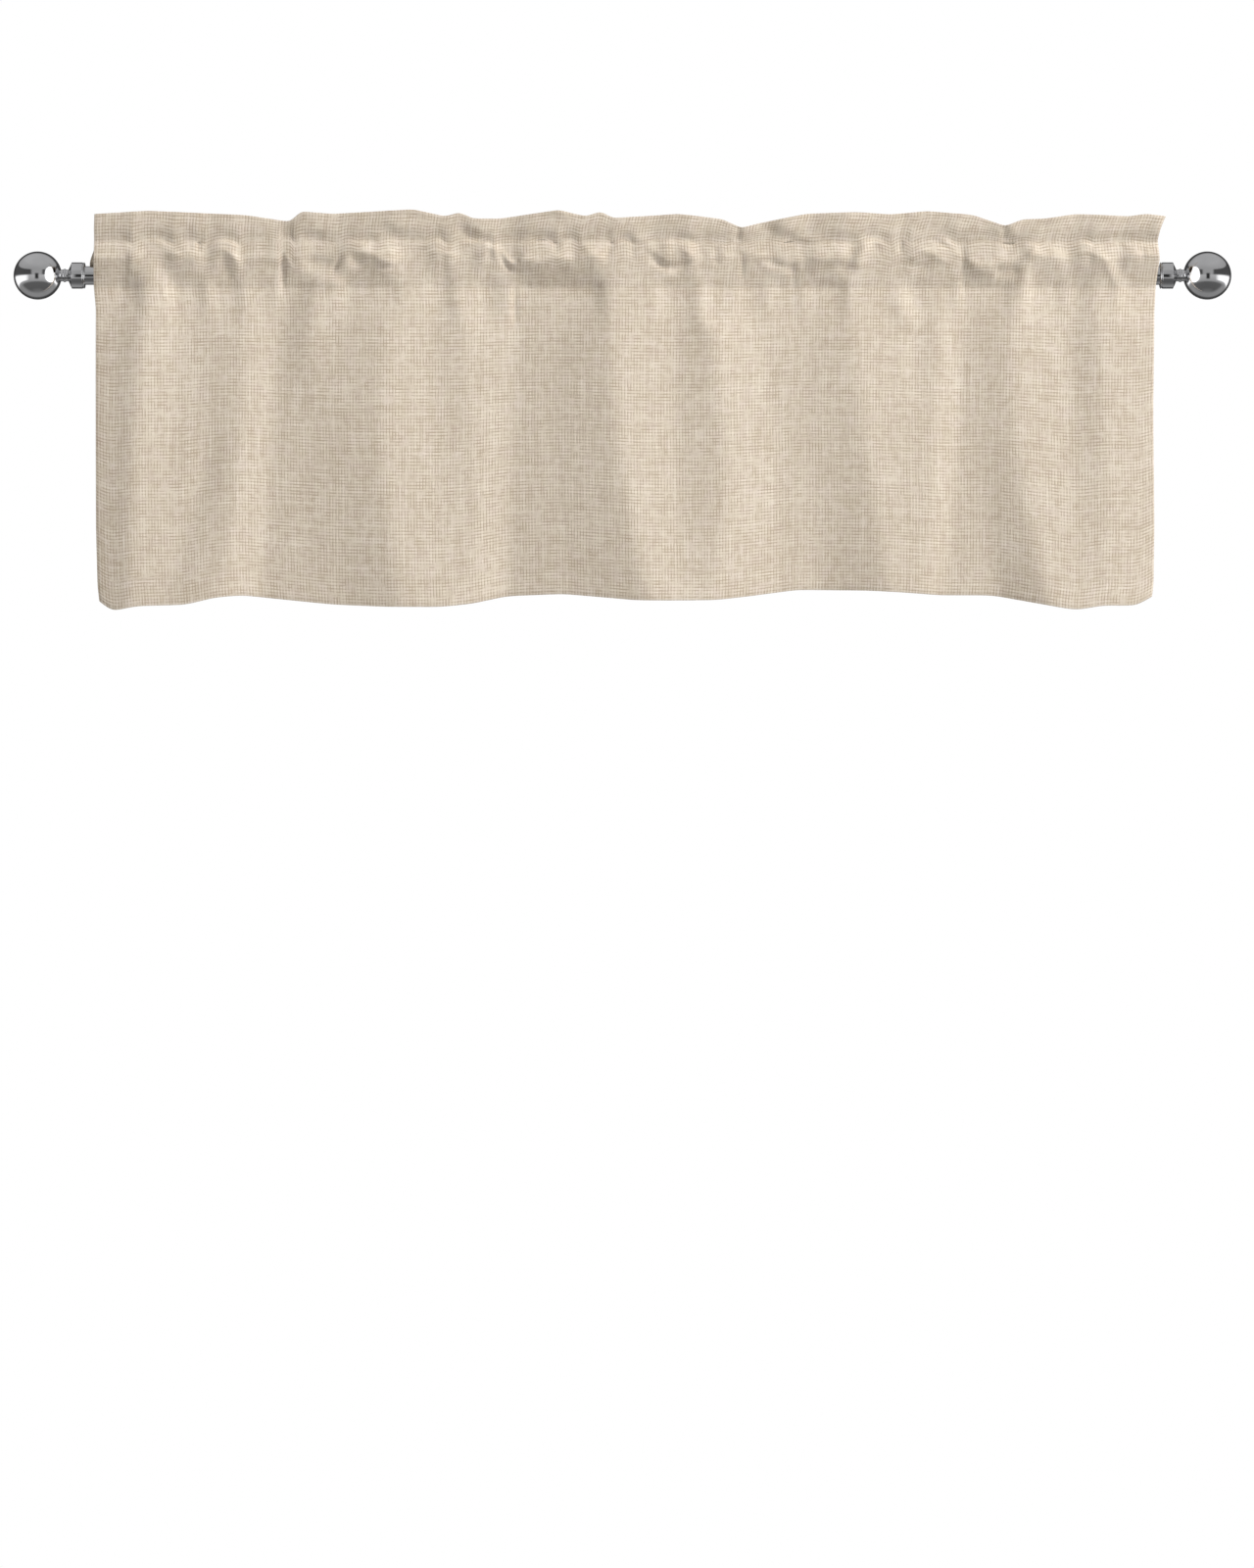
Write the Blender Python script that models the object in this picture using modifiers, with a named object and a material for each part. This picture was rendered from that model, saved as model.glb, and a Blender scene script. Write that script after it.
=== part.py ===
"""Window valance on its rod.

One cloth panel with a rod pocket and a standing header hangs on a plain tube, and each end of the
tube carries an end cap and a ball finial. Metres, +Z up. The origin is on the rod's axis at mid
length, +X runs along the rod, and the cloth's face looks along -Y. "Out" is the distance towards
the viewer, so a point that stands out by d has y = -d.
"""

import math
from typing import NamedTuple

import bmesh
import bpy
import numpy as np

MM = 0.001
FIT = 0.3 * MM  # clearance between pieces that meet

# Rod and finials
ROD_RADIUS = 11 * MM
ROD_WALL = 0.8 * MM
CAP_START = 634.4 * MM  # inner face of an end cap, measured from mid length
CAP_LENGTH = 19.5 * MM
CAP_RADIUS = 15.5 * MM
CAP_BORE_DEPTH = 12.3 * MM
CAP_FLANGE = 1.7 * MM
CAP_GROOVE = 1.0 * MM
CAP_CONE = 3.8 * MM
NECK_RADIUS = 6.95 * MM
NECK_RING = 0.9 * MM
BALL_RADIUS = 28.4 * MM
BALL_CENTRE = 690.6 * MM
TURNED_STEPS = 24
BALL_STEPS = 13
WELD = 0.01 * MM

# Cloth
COLUMNS = 84
CLOTH = 1.6 * MM  # one layer
DOUBLE = 3.2 * MM  # two layers sewn together
HEM = 2.6 * MM  # turned hem at the bottom
HEM_ROWS = (0.885, 0.90)  # the step where the turned hem ends, as shares of the skirt's drop
LOWER_STITCH = -14.5 * MM
UPPER_STITCH = 41 * MM
STITCH_OUT = 7 * MM
STITCH_FOLD = 0.4  # share of the folds' depth that is left at the lower stitches
HEADER_OUT = 4 * MM
HEADER_FOLD = 0.3
HEADER_LEAN = 4 * MM
HEADER_TIP = 0.45  # how far the header tips back where its top edge dips
HEADER_LEVEL = 70 * MM
TUNNEL_REACH = 11.6 * MM  # the roof bears on the rod where the cloth is gathered tight
ROOF_RISE = 21 * MM
APEX_SHIFT = 0.15  # how far the floor and roof follow the walls off the rod's axis
WALL_POWER = 0.12  # how squarely the tunnel's walls meet its floor and roof
SLEEVE_RADIUS = 13.4 * MM  # least outer radius of the cloth round the rod
SLEEVE_BLEND = 2 * MM
FRONT_BULGE = (3 * MM, 9 * MM)  # at a tight gather, and what a loose stretch adds
BACK_BULGE = (2 * MM, 9 * MM)
BULGE_SKEW = 1.35
END_LIP = 6 * MM  # the pocket's back layer reaches past the front one at the left end
LIP_SHARE = 0.008  # share of the width over which it does
FOLD_SOFTNESS = 7 * MM
HEM_SOFTNESS = 5 * MM
HEADER_SOFTNESS = 2 * MM
FULL_FOLD_AT = 0.12  # share of the drop at which the folds reach their full depth

SKIRT_ROWS = (0.05, 0.12, 0.25, 0.42, 0.60, 0.76, *HEM_ROWS, 1.0)
POCKET_ROWS = (0.0, 0.06, 0.18, 0.32, 0.46, 0.6, 0.78, 0.93, 1.0)
TUNNEL_ANGLES = (0, 27, 52, 76, 96, 114, 133, 157, 180)
HEADER_ROWS = (0.5, 0.97)  # shares of the header's height


class Fold(NamedTuple):
    """A crest or valley of the skirt, in millimetres: its place and depth at the pocket and the hem."""

    name: str
    top_x: float
    hem_x: float
    top_out: float
    hem_out: float
    hem_z: float


FOLDS = (
    Fold("left edge", -622, -619, 0, -3, -384),
    Fold("left corner", -606, -606, 3, 4, -395),
    Fold("first crest", -578, -580, 7, 12, -390),
    Fold("first flank", -518, -520, 1, 2, -388.5),
    Fold("slack", -453, -486, -2, -4, -380),
    Fold("slack edge", -440, -452, -3, -9, -377),
    Fold("first valley", -401, -419, -9, -14, -380.5),
    Fold("broad rise", -340, -345, -2, -1, -388),
    Fold("second crest", -263, -279, 8, 16, -391),
    Fold("second flank", -204, -216, 3, 8, -391),
    Fold("shallow step", -171, -178, 1, 2, -387),
    Fold("second valley", -126, -138, -9, -15, -378),
    Fold("steep rise", -65, -70, -1, -2, -375.5),
    Fold("third crest", -11, 18, 9, 16, -383.5),
    Fold("third flank", 68, 62, 3, 11, -383.5),
    Fold("small crest", 118, 112, 4, 8, -383),
    Fold("long fall", 160, 150, -1, -4, -375),
    Fold("third valley", 192, 208, -5, -13, -370.5),
    Fold("fourth crest", 267, 291, 8, -3, -371.5),
    Fold("wedge", 330, 338, 0, -10, -374),
    Fold("fourth valley", 403, 378, -9, -14, -377),
    Fold("last rise", 430, 440, -2, -2, -377),
    Fold("last crest", 461, 506, 7, 18, -389),
    Fold("last flank", 526, 540, 0, 10, -392.5),
    Fold("side fold", 552, 574, 3, 6, -389),
    Fold("right corner", 600, 612, 1, 1, -388),
    Fold("right edge", 629, 624.5, -3, -4, -382),
)


class Rise(NamedTuple):
    """A point of the header's top edge, in millimetres."""

    name: str
    x: float
    z: float


HEADER_TOP = (
    Rise("left end", -622, 71),
    Rise("flat", -560, 74.5),
    Rise("slope", -446, 69.5),
    Rise("step foot", -394, 62),
    Rise("step head", -382, 74),
    Rise("saddle", -346, 71),
    Rise("swell", -250, 76),
    Rise("dip", -212, 68),
    Rise("nub", -196, 73),
    Rise("hollow", -180, 65.5),
    Rise("low back", -150, 65.5),
    Rise("peak", -80, 75.5),
    Rise("dip", -48, 68),
    Rise("nub", -31, 74),
    Rise("hollow", -16, 66),
    Rise("mild swell", 60, 71),
    Rise("shoulder", 112, 65),
    Rise("first notch", 138, 54.5),
    Rise("notch side", 156, 60),
    Rise("shoulder", 212, 71.5),
    Rise("swell", 270, 73),
    Rise("saddle", 308, 70.5),
    Rise("swell", 352, 74.5),
    Rise("shoulder", 404, 70),
    Rise("second notch", 448, 56.5),
    Rise("notch side", 464, 64.5),
    Rise("saddle", 492, 65.5),
    Rise("shoulder", 526, 71),
    Rise("dip", 588, 68),
    Rise("flare", 608, 71),
    Rise("right end", 639, 67),
)


class Gather(NamedTuple):
    """A place where the pocket is drawn tight on the rod: millimetres, and tightness from 0 to 1."""

    x: float
    half_width: float
    tightness: float


GATHERS = (
    Gather(-622, 26, 0.75),
    Gather(-578, 14, 0.60),
    Gather(-508, 16, 0.55),
    Gather(-391, 15, 1.00),
    Gather(-336, 13, 0.70),
    Gather(-250, 14, 0.55),
    Gather(-196, 14, 0.75),
    Gather(-129, 18, 1.00),
    Gather(-44, 15, 0.80),
    Gather(17, 14, 0.55),
    Gather(78, 14, 0.50),
    Gather(138, 18, 1.00),
    Gather(200, 14, 0.60),
    Gather(271, 15, 0.75),
    Gather(330, 14, 0.40),
    Gather(402, 16, 0.85),
    Gather(450, 17, 1.00),
    Gather(531, 14, 0.70),
    Gather(584, 15, 0.50),
    Gather(632, 24, 0.75),
)


class Side(NamedTuple):
    """Where the cloth's two side edges run at one height, in millimetres."""

    name: str
    z: float
    left_x: float
    right_x: float


SIDES = (
    Side("hem", -386, -617, 623.5),
    Side("above hem", -366, -619, 626),
    Side("lower skirt", -300, -620.5, 626.8),
    Side("middle", -160, -620.5, 625.2),
    Side("upper skirt", -40, -620.5, 626.8),
    Side("lower stitches", -14, -623, 628.5),
    Side("rod", 0, -623, 630),
    Side("pocket", 18, -622.5, 632.5),
    Side("upper stitches", 41, -622, 630),
    Side("header", 55, -622, 633.5),
    Side("header corner", 68, -621.5, 639),
)


def clear_scene():
    for item in list(bpy.data.objects):
        bpy.data.objects.remove(item, do_unlink=True)


def collection(name):
    made = bpy.data.collections.new(name)
    bpy.context.scene.collection.children.link(made)
    return made


def principled(name, colour, roughness, metallic=0.0):
    made = bpy.data.materials.new(name)
    made.use_nodes = True
    shader = made.node_tree.nodes["Principled BSDF"]
    shader.inputs["Base Color"].default_value = (*colour, 1.0)
    shader.inputs["Roughness"].default_value = roughness
    shader.inputs["Metallic"].default_value = metallic
    return made


def column(rows, field):
    """One named column of a table, in metres."""
    return np.array([getattr(row, field) for row in rows]) * MM


def softened(x, knots, heights, radius):
    """Straight runs between knots whose corners are rounded off over about the radius.

    The height starts on the first run, and at each inner knot the change of slope is switched on
    by a softplus ramp. Knots and heights may differ from one row of x to the next.
    """
    slopes = np.diff(heights) / np.diff(knots)
    ramps = np.logaddexp(0, (x[..., None] - knots[..., None, 1:-1]) / radius) * radius
    turns = np.diff(slopes)[..., None, :]
    return heights[..., :1] + slopes[..., :1] * (x - knots[..., :1]) + (ramps * turns).sum(-1)


def smooth_step(t):
    t = np.clip(t, 0, 1)
    return t * t * (3 - 2 * t)


def upper_of(a, b):
    """The larger of two lengths, with the change from one to the other rounded off."""
    return 0.5 * (a + b + np.sqrt((a - b) ** 2 + SLEEVE_BLEND**2))


def edge_to_edge(share, z):
    """x of a column at a height: the same share of the width between the two side edges."""
    heights = column(SIDES, "z")
    left = np.interp(z, heights, column(SIDES, "left_x"))
    right = np.interp(z, heights, column(SIDES, "right_x"))
    return left + share * (right - left)


def fold_out(x, drop):
    """How far the folds stand out at x on rows that are the given shares of the drop."""
    lean = np.asarray(drop)[:, None]
    knots = column(FOLDS, "top_x") * (1 - lean) + column(FOLDS, "hem_x") * lean
    heights = column(FOLDS, "top_out") * (1 - lean) + column(FOLDS, "hem_out") * lean
    return softened(x, knots, heights, FOLD_SOFTNESS)


def looseness(x):
    """1 where the pocket is puffed up between gathers, 0 where it is tight on the rod."""
    centres = column(GATHERS, "x")
    widths = column(GATHERS, "half_width")
    tightness = np.array([gather.tightness for gather in GATHERS])
    pull = tightness * np.exp(-(((x[:, None] - centres) / widths) ** 2))
    return np.prod(1 - pull, axis=1)


def points(x, y, z):
    return np.stack(np.broadcast_arrays(x, y, z), axis=-1)


class Cloth:
    """The cloth's section at every column, as rows of points from the hem up and over to the back."""

    def __init__(self):
        self.share = np.linspace(0, 1, COLUMNS + 1)
        self.x = edge_to_edge(self.share, 0)
        self.loose = looseness(self.x)
        self.hem_z = softened(
            self.x, column(FOLDS, "hem_x"), column(FOLDS, "hem_z"), HEM_SOFTNESS
        )
        self.header_z = softened(
            self.x, column(HEADER_TOP, "x"), column(HEADER_TOP, "z"), HEADER_SOFTNESS
        )
        crests = fold_out(self.x[None, :], [0.0])[0]
        self.stitch_out = STITCH_OUT + STITCH_FOLD * crests
        self.header_out = HEADER_OUT + HEADER_FOLD * crests

    def skirt(self):
        """Front and back rows below the pocket, top row first.

        The drop of each column runs from the lower stitches to its own hem height. The back is the
        front moved back by one layer, or by the turned hem's thickness along the bottom.
        """
        drop = np.array(SKIRT_ROWS)
        z = LOWER_STITCH + drop[:, None] * (self.hem_z - LOWER_STITCH)
        x = edge_to_edge(self.share, z)
        grown = STITCH_FOLD + (1 - STITCH_FOLD) * smooth_step(drop / FULL_FOLD_AT)
        out = STITCH_OUT + fold_out(x, drop) * grown[:, None]
        thick = np.where(drop >= HEM_ROWS[1], HEM, CLOTH)[:, None]
        return points(x, -out, z), points(x, thick - out, z)

    def sleeve(self, z):
        """Outer front and back of the pocket at a height, as distances from the rod's axis."""
        rise = (z - LOWER_STITCH) / (UPPER_STITCH - LOWER_STITCH)
        swell = np.sin(math.pi * rise**BULGE_SKEW)
        seam = self.stitch_out + (self.header_out - self.stitch_out) * rise
        hug = np.sqrt(np.maximum(SLEEVE_RADIUS**2 - z**2, 0))
        front = seam + (FRONT_BULGE[0] + FRONT_BULGE[1] * self.loose) * swell
        back = DOUBLE - seam + (BACK_BULGE[0] + BACK_BULGE[1] * self.loose) * swell
        near_seam = smooth_step(np.minimum(rise, 1 - rise) / POCKET_ROWS[1])
        front = seam + (upper_of(front, hug) - seam) * near_seam
        back_seam = DOUBLE - seam
        return front, back_seam + (upper_of(back, hug) - back_seam) * near_seam

    def pocket(self):
        """Outer front and back rows between the two rows of stitches, lowest first."""
        rise = np.array(POCKET_ROWS)[:, None]
        z = LOWER_STITCH + rise * (UPPER_STITCH - LOWER_STITCH)
        front, back = self.sleeve(z)
        x = edge_to_edge(self.share, z)
        lip = END_LIP * np.exp(-((self.share / LIP_SHARE) ** 2)) * np.sin(math.pi * rise) ** 2
        return points(x, -front, z), points(x - lip, back, z)

    def tunnel(self):
        """Front and back rows of the hollow that the rod runs through, lowest first.

        Its rows go round from the floor to the roof by angle about the rod's axis, and the upper
        ones are stretched upwards where the pocket is loose. The walls are one layer inside the
        sleeve.
        """
        turn = np.radians(TUNNEL_ANGLES)[:, None]
        stretch = ROOF_RISE * self.loose * smooth_step(2 * turn / math.pi - 1)
        z = -np.cos(turn) * (TUNNEL_REACH + stretch)
        front, back = self.sleeve(z)
        front_y, back_y = CLOTH - front, back - CLOTH
        middle = APEX_SHIFT * (front_y + back_y)
        apart = np.sin(turn) ** WALL_POWER
        x = edge_to_edge(self.share, z)
        return (
            points(x, middle + (front_y - middle) * apart, z),
            points(x, middle + (back_y - middle) * apart, z),
        )

    def header(self):
        """Front and back rows of the doubled header, lowest first, and the ridge along its top."""
        rise = np.array([*HEADER_ROWS, 1.0])[:, None]
        z = UPPER_STITCH + rise * (self.header_z - UPPER_STITCH)
        lean = HEADER_LEAN - HEADER_TIP * (HEADER_LEVEL - self.header_z)
        out = self.header_out + lean * rise
        x = edge_to_edge(self.share, z)
        front, back = points(x, -out, z), points(x, DOUBLE - out, z)
        ridge = points(x[-1], DOUBLE / 2 - out[-1], z[-1])
        return front[:-1], back[:-1], ridge[None]


def strip(first, second):
    """Quads between two rows of vertex numbers, which shrink to triangles where the rows meet."""
    faces = []
    for a, b, c, d in zip(first[:-1], first[1:], second[1:], second[:-1]):
        faces.append(tuple(dict.fromkeys((a, b, c, d))))
    return faces


def cloth_mesh(name):
    """The loft of the sections: an outer skin, the tunnel's skin and a cap across each side edge."""
    cloth = Cloth()
    skirt_front, skirt_back = cloth.skirt()
    pocket_front, pocket_back = cloth.pocket()
    header_front, header_back, ridge = cloth.header()
    tunnel_front, tunnel_back = cloth.tunnel()
    outer = (
        skirt_front[::-1], pocket_front, header_front, ridge,
        header_back[::-1], pocket_back[::-1], skirt_back,
    )
    inner = (tunnel_front, tunnel_back[-2:0:-1])
    rows = np.concatenate(outer + inner)
    width = rows.shape[1]
    number = np.arange(rows.shape[0] * width).reshape(rows.shape[:2])
    outer_rows = sum(len(part) for part in outer)

    faces = []
    for loop in (number[:outer_rows], number[outer_rows:][::-1]):
        closed = np.concatenate([loop, loop[:1]])
        for low, high in zip(closed[:-1], closed[1:]):
            faces += strip(low.tolist(), high.tolist())

    ends = np.cumsum([len(part) for part in outer + inner])
    parts = np.split(number, ends[:-1])
    for side in (0, -1):
        skirt_f, pocket_f, header_f, top, header_b, pocket_b, skirt_b, tunnel_f, tunnel_b = (
            part[:, side].tolist() for part in parts
        )
        pocket_b, header_b, tunnel_b = pocket_b[::-1], header_b[::-1], tunnel_b[::-1]
        tunnel_b = [tunnel_f[0], *tunnel_b, tunnel_f[-1]]
        faces += strip([*skirt_f, pocket_f[0]], [*skirt_b[::-1], pocket_b[0]])
        faces.append((pocket_f[0], pocket_b[0], tunnel_f[0]))
        faces += strip(pocket_f, tunnel_f)
        faces += strip(pocket_b, tunnel_b)
        faces.append((pocket_f[-1], pocket_b[-1], tunnel_f[-1]))
        faces += strip([pocket_f[-1], *header_f, *top], [pocket_b[-1], *header_b, *top])

    mesh = bpy.data.meshes.new(name)
    mesh.from_pydata(rows.reshape(-1, 3).tolist(), [], faces)
    shape = bmesh.new()
    shape.from_mesh(mesh)
    bmesh.ops.recalc_face_normals(shape, faces=shape.faces)
    shape.to_mesh(mesh)
    shape.free()
    mesh.shade_smooth()
    mesh.set_sharp_from_angle(angle=math.radians(60))
    return mesh


def add_cloth(parts, fabric):
    made = bpy.data.objects.new("valance_cloth", cloth_mesh("valance_cloth"))
    made.data.materials.append(fabric)
    parts.objects.link(made)


def add_rod(parts, steel):
    """A tube that reaches into both end caps, ending short of the bottom of each bore."""
    half = CAP_START + CAP_BORE_DEPTH - FIT
    profile = (
        (ROD_RADIUS, half),
        (ROD_RADIUS, -half),
        (ROD_RADIUS - ROD_WALL, -half),
        (ROD_RADIUS - ROD_WALL, half),
        (ROD_RADIUS, half),
    )
    turned(parts, "rod_tube", profile, steel).rotation_euler = (0, math.pi / 2, 0)


def turned(parts, name, profile, material):
    """A profile of radius and height, turned once round Z by a Screw modifier."""
    mesh = bpy.data.meshes.new(name)
    edges = [(i, i + 1) for i in range(len(profile) - 1)]
    mesh.from_pydata([(radius, 0, height) for radius, height in profile], edges, [])
    made = bpy.data.objects.new(name, mesh)
    mesh.materials.append(material)
    screw = made.modifiers.new("turn", "SCREW")
    screw.axis = "Z"
    screw.steps = screw.render_steps = TURNED_STEPS
    screw.use_merge_vertices = True
    screw.merge_threshold = WELD
    screw.use_smooth_shade = True
    parts.objects.link(made)
    return made


def cap_profile():
    """A cup over the rod's end: its closed end is coned, and a groove sets off a thin flange."""
    groove_radius = CAP_RADIUS - CAP_GROOVE
    bore = ROD_RADIUS + FIT
    return (
        (0, CAP_LENGTH),
        (NECK_RADIUS + FIT, CAP_LENGTH),
        (CAP_RADIUS, CAP_LENGTH - CAP_CONE),
        (CAP_RADIUS, CAP_FLANGE + CAP_GROOVE),
        (groove_radius, CAP_FLANGE + CAP_GROOVE / 2),
        (CAP_RADIUS, CAP_FLANGE),
        (groove_radius, 0),
        (bore, 0),
        (bore, CAP_BORE_DEPTH),
        (0, CAP_BORE_DEPTH),
    )


def finial_profile():
    """A ball on a short neck with a raised ring, measured from the cap's inner face."""
    centre = BALL_CENTRE - CAP_START
    neck_start = CAP_LENGTH + FIT
    meets_neck = math.pi - math.asin(NECK_RADIUS / BALL_RADIUS)
    ball = [
        (BALL_RADIUS * math.sin(turn), centre + BALL_RADIUS * math.cos(turn))
        for turn in np.linspace(0, meets_neck, BALL_STEPS + 1)
    ]
    ring = (neck_start + ball[-1][1]) / 2
    neck = (
        (NECK_RADIUS, ring + 2 * NECK_RING),
        (NECK_RADIUS + NECK_RING, ring),
        (NECK_RADIUS, ring - 2 * NECK_RING),
        (NECK_RADIUS, neck_start),
        (0, neck_start),
    )
    return (*ball, *neck)


def add_finials(parts, steel):
    for side, way in (("left", -1), ("right", 1)):
        for kind, profile in (("end_cap", cap_profile()), ("finial", finial_profile())):
            made = turned(parts, f"{side}_{kind}", profile, steel)
            made.rotation_euler = (0, way * math.pi / 2, 0)
            made.location = (way * CAP_START, 0, 0)


def main():
    clear_scene()
    parts = collection("window_valance_with_rod")
    add_cloth(parts, principled("linen look cloth", (0.63, 0.54, 0.43), 0.9))
    steel = principled("polished steel", (0.62, 0.62, 0.63), 0.12, 1.0)
    add_rod(parts, steel)
    add_finials(parts, steel)


main()
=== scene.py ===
"""Looks of the window valance: gathered linen-look cloth on a polished rod with ball finials.

The panel is one grid of points. Its rows run along the cut length: up the front from the hem,
through the pocket and header, over the top edge and down the back to the lower stitches. Its
columns run across the width. "Out" is the distance towards the viewer, so y = -out.
"""

import math
from typing import NamedTuple

import bmesh
import bpy
import numpy as np
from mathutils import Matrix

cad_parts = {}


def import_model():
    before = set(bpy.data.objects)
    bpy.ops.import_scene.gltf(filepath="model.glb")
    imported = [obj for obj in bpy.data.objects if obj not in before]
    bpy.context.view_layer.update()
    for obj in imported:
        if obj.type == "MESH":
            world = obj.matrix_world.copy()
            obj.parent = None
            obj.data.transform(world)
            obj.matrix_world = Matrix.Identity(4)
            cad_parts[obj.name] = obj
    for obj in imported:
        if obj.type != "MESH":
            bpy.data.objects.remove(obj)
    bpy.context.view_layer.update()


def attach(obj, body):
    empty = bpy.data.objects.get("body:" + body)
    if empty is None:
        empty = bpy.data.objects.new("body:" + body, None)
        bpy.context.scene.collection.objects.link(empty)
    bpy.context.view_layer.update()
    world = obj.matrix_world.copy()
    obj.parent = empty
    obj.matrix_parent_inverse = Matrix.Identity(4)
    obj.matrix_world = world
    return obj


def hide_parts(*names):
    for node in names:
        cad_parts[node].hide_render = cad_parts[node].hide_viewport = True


MM = 0.001

# Panel
FLAT_WIDTH = 1370 * MM
CLOTH = 0.5 * MM
COLUMNS = 424
FINER = 4  # how many times finer than the columns their crowding is worked out
CROWDING = 1.0  # how much closer the columns stand along upright creases
CROWDING_REACH = 2.5  # and how far beside them, in half widths of the crease
UPRIGHT = 0.8  # least sine of the turn of a crease that counts as upright
LOWER_STITCH = -14.5 * MM
UPPER_STITCH = 41 * MM
STITCH_OUT = 13.4 * MM  # how far out the lower seam lies
STITCH_FOLD = (0.7, 0.3)  # share of a fold's depth, and of its rounded size, at the stitches
STITCH_FOLD_BLEND = 3 * MM
FULL_FOLD_AT = 0.12  # share of the drop at which the folds reach their depth
MIDDLE_DROP = 0.45  # share of the drop where a fold's middle values hold
FOLD_SOFTNESS = 4 * MM
BELLY = 4.5 * MM  # how far the skirt bulges halfway down
HEM_BACK = 3.5 * MM  # how far the hem hangs back from the stitches
HEM_SOFTNESS = 5 * MM
TUCK_EDGE = 20 * MM  # width of a tuck's rounded end
TUCK_FADE = 60 * MM  # how far below the stitches a tuck has gone
OVERHANG = 1.3  # how far the pocket hangs over a tuck, in depths of the tuck
SEAM_OVER = 0.5  # how far the upper seam stands out over a tuck, as a share of its depth
HEADER_OUT = 18.7 * MM  # how far out the upper seam lies
HEADER_FOLD = 0.3  # share of the skirt's folds that runs on through the header
HEADER_BEND = 11 * MM  # height over the stitches in which the header takes its lean
HEADER_SLOPE = 0.05  # how much further out the header goes for each unit of height
HEADER_SOFTNESS = 2 * MM
SLEEVE_RADIUS = 11.6 * MM  # least distance of the pocket's face from the rod's axis, in front
SLEEVE_BACK_RADIUS = 12.6 * MM  # and behind
SLEEVE_BLEND = 1 * MM
FRONT_BULGE = (0.4 * MM, 0.4 * MM)  # where the pocket is tight, and what looseness adds
BACK_BULGE = (2 * MM, 9 * MM)
BACK_PUFF = 0.5  # share of the pillows' depth that the back swells by
BULGE_SKEW = 1.35  # above 1 the back is fullest above its middle
EVEN_SHARE = 0.6  # share of the front's swell that rises evenly
FALL_POWER = 0.95  # at 1 the front would fall evenly from the brow to the upper stitches
PILLOW_GAP = 4 * MM  # how much lower the upper seam lies where there is no pillow
ARCH_SOFTNESS = 3 * MM
ARCH_REACH = 4  # columns to each side over which the tops of the pillows are softened
TUNNEL_REACH = 11.6 * MM  # height of the rod tunnel's roof where the pocket is tight
ROOF_RISE = 21 * MM  # and what looseness adds
ROOF_BLEND = 9 * MM
SEAM_ZONE = 0.06  # share of the pocket's height, next to a seam, where its hold on the rod fades
END_LIP = 6 * MM  # how far the back stands out sideways at the left end
LIP_SHARE = 0.008  # and the share of the width in which that fades
TURN_GAP = 1.2 * MM  # face to face where the cloth is turned once
CORNER_GAP = 2.6 * MM  # and where a turned side edge lies in between
TAIL_GAP = 0.9 * MM
SIDE_TURN_SHARE = 0.011  # share of the width that a turned side edge takes
LOWER_GAP = 2.2 * MM  # face to face at the lower stitches
STITCH_DIP = 0.2 * MM
STITCH_DIP_WIDTH = 1.6 * MM

# Rows of the skirt, as shares of the way down from the lower stitches to the hem
DROPS = np.concatenate([
    np.linspace(1, 0.915, 5),
    np.linspace(0.85, 0.2, 9),
    np.linspace(0.165, 0.012, 10),
])
HEM_TURN_ROWS = 4
HEM_STITCH_ROW = 4  # rows from the hem up to its stitches
# Rows of the pocket and header, as shares of their height
POCKET_RISES = np.linspace(0, 1, 35)
HEADER_RISES = np.linspace(0.08, 0.95, 11)
BACK_HEADER_RISES = np.linspace(0.93, 0.1, 5)
BACK_POCKET_RISES = np.linspace(1, 0, 17)
TAIL = 2.5 * MM  # cloth below the lower stitches behind, before it is turned in
TAIL_TURN_ROWS = 2
SIDE_TURN_COLUMNS = 5
FOLD_STEPS = 3  # rows round a turned edge


class Fold(NamedTuple):
    """A crest or valley of the skirt, in millimetres.

    Its place and how far it stands out, each at the pocket, part of the way down and at the hem.
    """

    name: str
    top_x: float
    middle_x: float
    hem_x: float
    top_out: float
    middle_out: float
    hem_out: float


FOLDS = [Fold(*row) for row in (
    ("left edge", -622, -621, -617, 0, 0, -2),
    ("edge rise", -594, -598, -598, 1.5, 3, 1),
    ("first crest", -560, -575, -581, 8, 8, 5),
    ("first flank", -522, -526, -540, 1, 0, 2),
    ("slack", -504, -496, -486, 1, -1, 5),
    ("slack edge", -444, -449, -472, 1, 2, 4),
    ("first valley", -401, -413, -426, -4, -6, -8),
    ("broad rise", -367, -367, -376, 1, -3, -6),
    ("shelf", -328, -330, -326, 1, 1, -3),
    ("second crest", -271, -283, -260, 6, 6, 8),
    ("dip", -226, -218, -214, 0, -2, 5),
    ("second flank", -204, -177, -177, 1, -2, 0),
    ("second valley", -124, -129, -137, -8, -8, -9),
    ("steep rise", -60, -81, -52, -2, -3, 1),
    ("third crest", -14, -7, 32, 8, 10, 17),
    ("third flank", 62, 63, 71, 2, 1, 12),
    ("small crest", 84, 118, 106, 4, 6, 9),
    ("long fall", 151, 179, 179, -4, -4, -7),
    ("shelf end", 209, 218, 232, -5, -4, -12),
    ("low rise", 244, 251, 255, -1, -1, -10),
    ("fourth crest", 263, 284, 312, 2, 3, 0),
    ("wedge", 320, 322, 342, -2, 0, -2),
    ("wedge end", 374, 370, 356, -2, -1, -3),
    ("third valley", 401, 397, 380, -5, -7, -9),
    ("last rise", 439, 424, 446, -1, -4, -7),
    ("last crest", 459, 464, 503, 3, 3, 9),
    ("last flank", 528, 531, 538, -1, -1, 8),
    ("side fold", 557, 568, 570, 6, 4, 7),
    ("right edge", 628, 626, 624, 2, 1, 2),
)]


class Rise(NamedTuple):
    """A point of the header's top edge or of the hem, in millimetres."""

    name: str
    x: float
    z: float


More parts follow.
